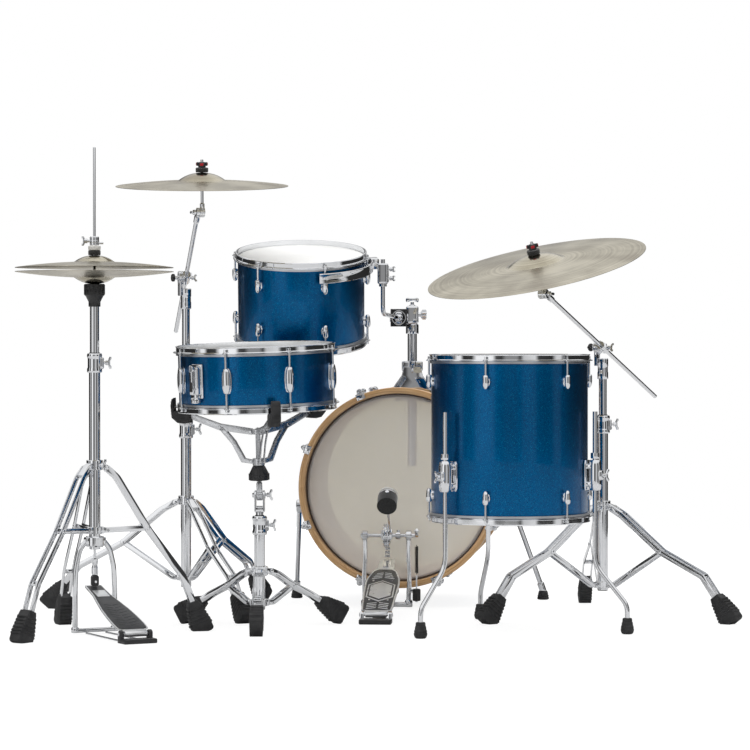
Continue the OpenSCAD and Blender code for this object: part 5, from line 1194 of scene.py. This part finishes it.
slab(whole, [(-15, -388), (15, -388), (15, 52), (-15, 52)], 3.8, 1, in_pedal @ lift(1.95), 1)
slab(whole, [(-36, -422), (36, -422), (38, -418), (38, -384), (30, -376), (-30, -376), (-38, -384),
    (-38, -418)], 11.6, 2.4, in_pedal @ lift(5.9), 1)
pedal_heel = in_pedal @ shift(0, -380, 20)
heel_cheeks(whole, pedal_heel, 33, 0, 2)
for s in (-1, 1):
    rod(whole, 3.4, 2, 6, in_pedal @ shift(s * 9, -60, 3.6), 2)
brick(whole, 28, 14, 64, 3, in_pedal @ shift(0, 26, 3), 1, bevels=3)
slab(whole, [(-26, 20), (26, 20), (26, 58), (22, 62), (-22, 62), (-26, 58)], 11.6, 2,
    in_pedal @ lift(40.2), 1)
slab(whole, [(-12, 20), (12, 20), (12, 50), (8, 54), (-8, 54), (-12, 50)], 4.8, 1.6, in_pedal @ lift(67.7))
wing(whole, in_pedal @ shift(-14, 26, 30) @ turn("Z", 180), 9, 22)
adjuster = in_pedal @ shift(74, -12, 20)
fluted(whole, adjuster, 9.5, 30, 14, 1)
lathe(whole, [(0, -3), (3, -3), (3, 2), (0, 2)], 16, adjuster)
finished("pedal_posts_and_base", whole, "kit", [chrome, black_plastic, steel], ["pedal_frame"])

# The board: bright cast rim, dark ridged panel and a plain shield plate in its middle
pedal_slope = degrees(atan2(93, 416))
board = pedal_heel @ turn("X", pedal_slope)
whole = bmesh.new()
edge = [(27, 2), (27, 12), (36, 17), (38, 60), (39, 100), (41.6, 190), (42, 225), (40, 262), (30, 318),
    (20, 346), (18.6, 420), (15, 427)]
slab(whole, mirrored(edge), 5, 1.4, board @ lift(4.6))
inner = [(x - 4, min(max(y, 8), 334)) for x, y in edge[1:-2]]
slab(whole, mirrored(inner), 1.4, 0.6, board @ lift(7), 1)
for y in [24 + 13 * i for i in range(4)] + [262 + 13 * i for i in range(4)]:
    half_width = 31 if y < 110 else 34 - max(0, y - 256) * 0.28
    for s in (-1, 1):
        brick(whole, half_width * 0.8, 3.4, 1.8, 0.8, board @ shift(s * half_width * 0.46, y, 6.8)
            @ turn("Z", s * -22))
for size, height, finish in ((38, 7.4, 0), (34, 8.2, 1), (30, 8.6, 0)):
    right = [(0, -size * 2.2), (size * 0.86, -size * 1.3), (size * 0.86, size * 1.3), (0, size * 2.2)]
    shield = right + [(-size * 0.86, size * 1.3), (-size * 0.86, -size * 1.3)]
    slab(whole, shield, 1.2, 0.5, board @ shift(0, 160, height), finish)
for s in (-1, 1):
    for y in (84, 236):
        rod(whole, 2.6, 2, 16, board @ shift(s * 22, y, 7.6), 2, edge=0.5)
slab(whole, [(-8, 352), (8, 352), (10, 372), (10, 408), (6, 418), (-6, 418), (-10, 408), (-10, 372)], 2.4,
    0.9, board @ lift(7.6), 2)
rod(whole, 3, 76, 20, pedal_heel @ shift(-38, 0, 0) @ along_x, 2)
lathe(whole, [(3.2, -25), (6.4, -25), (7, -24), (7, 24), (6.4, 25), (3.2, 25)], 32, pedal_heel @ along_x)
finished("pedal_ridged_footboard", whole, "pedal_footboard",
    [bare_casting, dark_casting, chrome], ["pedal_footboard"])

# Shaft, cam with its toothed rim, hub with set screws, beater rod, and a black head with a
# white felt face towards the drum
whole = bmesh.new()
lathe(whole, [(0, -64), (4.2, -64), (5, -63), (5, 77), (4.2, 78), (0, 78)], 32, shaft @ along_x)
cam = shaft @ shift(-8, 0, 0) @ along_x
lathe(whole, [(0, 0), (28.6, 0), (30, 1.4), (30, 3), (28, 4), (27.6, 5.4), (27.6, 10.6), (28, 12),
    (30, 13), (30, 14.6), (28.6, 16), (0, 16)], 64, cam)
ring_of(whole, block(3.4, 2.6, 4.4, 0.6), 26, 27.8, 5.8, cam)
ring_of(whole, round_bar(3.6, 17, 18), 5, 18.5, -0.5, cam @ turn("Z", 20), 1)
brick(whole, 28, 24, 28, 4, shaft @ shift(0, -2, -12), bevels=3)
lathe(whole, [(5, 22), (8.6, 22), (9.6, 23), (9.6, 33), (8.6, 34), (5, 34)], 36, shaft @ along_x)
rod(whole, 4, 6, 4, shaft @ shift(28, 0, 7))
beater_reach, lean = 185, 59
head_at = Vector((12, -beater_reach * sin(radians(lean)), beater_reach * cos(radians(lean))))
root = Vector((8, 0, 0))
aim = (head_at - root).normalized()
rod_from, rod_to = root + aim * 10, head_at + aim * 19
rod(whole, 3, (rod_to - rod_from).length, 20, shaft @ between(rod_from, rod_to))
rod(whole, 6.6, 12, 28, shaft @ between(root + aim * 14, root + aim * 30), edge=1)
lever = shaft @ turn("X", -45)
slab(whole, [(-21, -4), (-17, -5), (0, -5), (4, -3), (4, 3), (0, 5), (-17, 5), (-21, 4)], 8, 1.6,
    lever @ shift(74, 0, 0) @ along_x @ turn("Z", 90))
rod(whole, 2, 14, 14, lever @ shift(67, -16.6, 0) @ along_x)
felt_head = shaft @ shift(*head_at) @ turn("X", 90 - lean)
lathe(whole, [(0, -16), (20, -16), (23, -14), (24, -10), (24, 26), (0, 26)], 48, felt_head @ upright, 2)
lathe(whole, [(0, -26), (19, -25.4), (22.6, -23), (24, -18), (23, -16), (0, -16)], 48, felt_head @ upright,
    3)
lathe(whole, [(24, -12), (24.12, -11.6), (24.12, -9), (24, -8.6)], 48, felt_head @ upright, 0)
rod(whole, 5, 4, 24, felt_head @ lift(22), 0, edge=0.8)
finished("pedal_shaft_cam_and_beater", whole, "beater", [chrome, black_plastic, felt,
    white_felt], ["pedal_beater"])

# A double roller chain: pins, rollers and waisted side plates
whole = bmesh.new()
chain = in_pedal @ shift(0, 33.3, 122)
for i in range(6):
    for x in (-5.7, 0.3):
        lathe(whole, [(0, 0), (2.7, 0), (2.9, 0.3), (2.9, 5.1), (2.7, 5.4), (0, 5.4)], 18,
            chain @ shift(x, 0, 4.75 + 9.5 * i) @ along_x)
for x in (-5.2, 0, 5.2):
    for i in range(5):
        link = [(-2.4, -1.6), (0, -2.6), (2.4, -1.6), (2, 4.75), (2.4, 11.1), (0, 12.1), (-2.4, 11.1),
            (-2, 4.75)]
        slab(whole, link, 0.9, 0.2, chain @ shift(x + (0.5 if i % 2 else -0.5), 0, 4.75 + 9.5 * i)
            @ turn("Z", 90) @ upright)
finished("pedal_roller_chain", whole, "pedal_chain", [steel], ["pedal_chain"])

# The return spring: a close black coil with a hook at each end
black_wire = plain("black_spring_wire", (0.02, 0.02, 0.021), 0.28, 0.5, bumps=(600, 2, 0.0001, 0.3))
whole = bmesh.new()
spring_top = 158
coil_points = [(3.7 * cos(i * pi / 6), 3.7 * sin(i * pi / 6), 89 + i * (spring_top - 94) / 360)
    for i in range(361)]
spring = in_pedal @ shift(74, -12.02, 0)
set_in(whole, bent_bar([(0, 0, 85), (0, 0, 88)] + coil_points + [(0, 0, spring_top - 4),
    (0, 0, spring_top)], 0.8, 0.5, 2), spring)
finished("pedal_return_coil", whole, "kit", [black_wire], ["pedal_spring"], sharp=60)
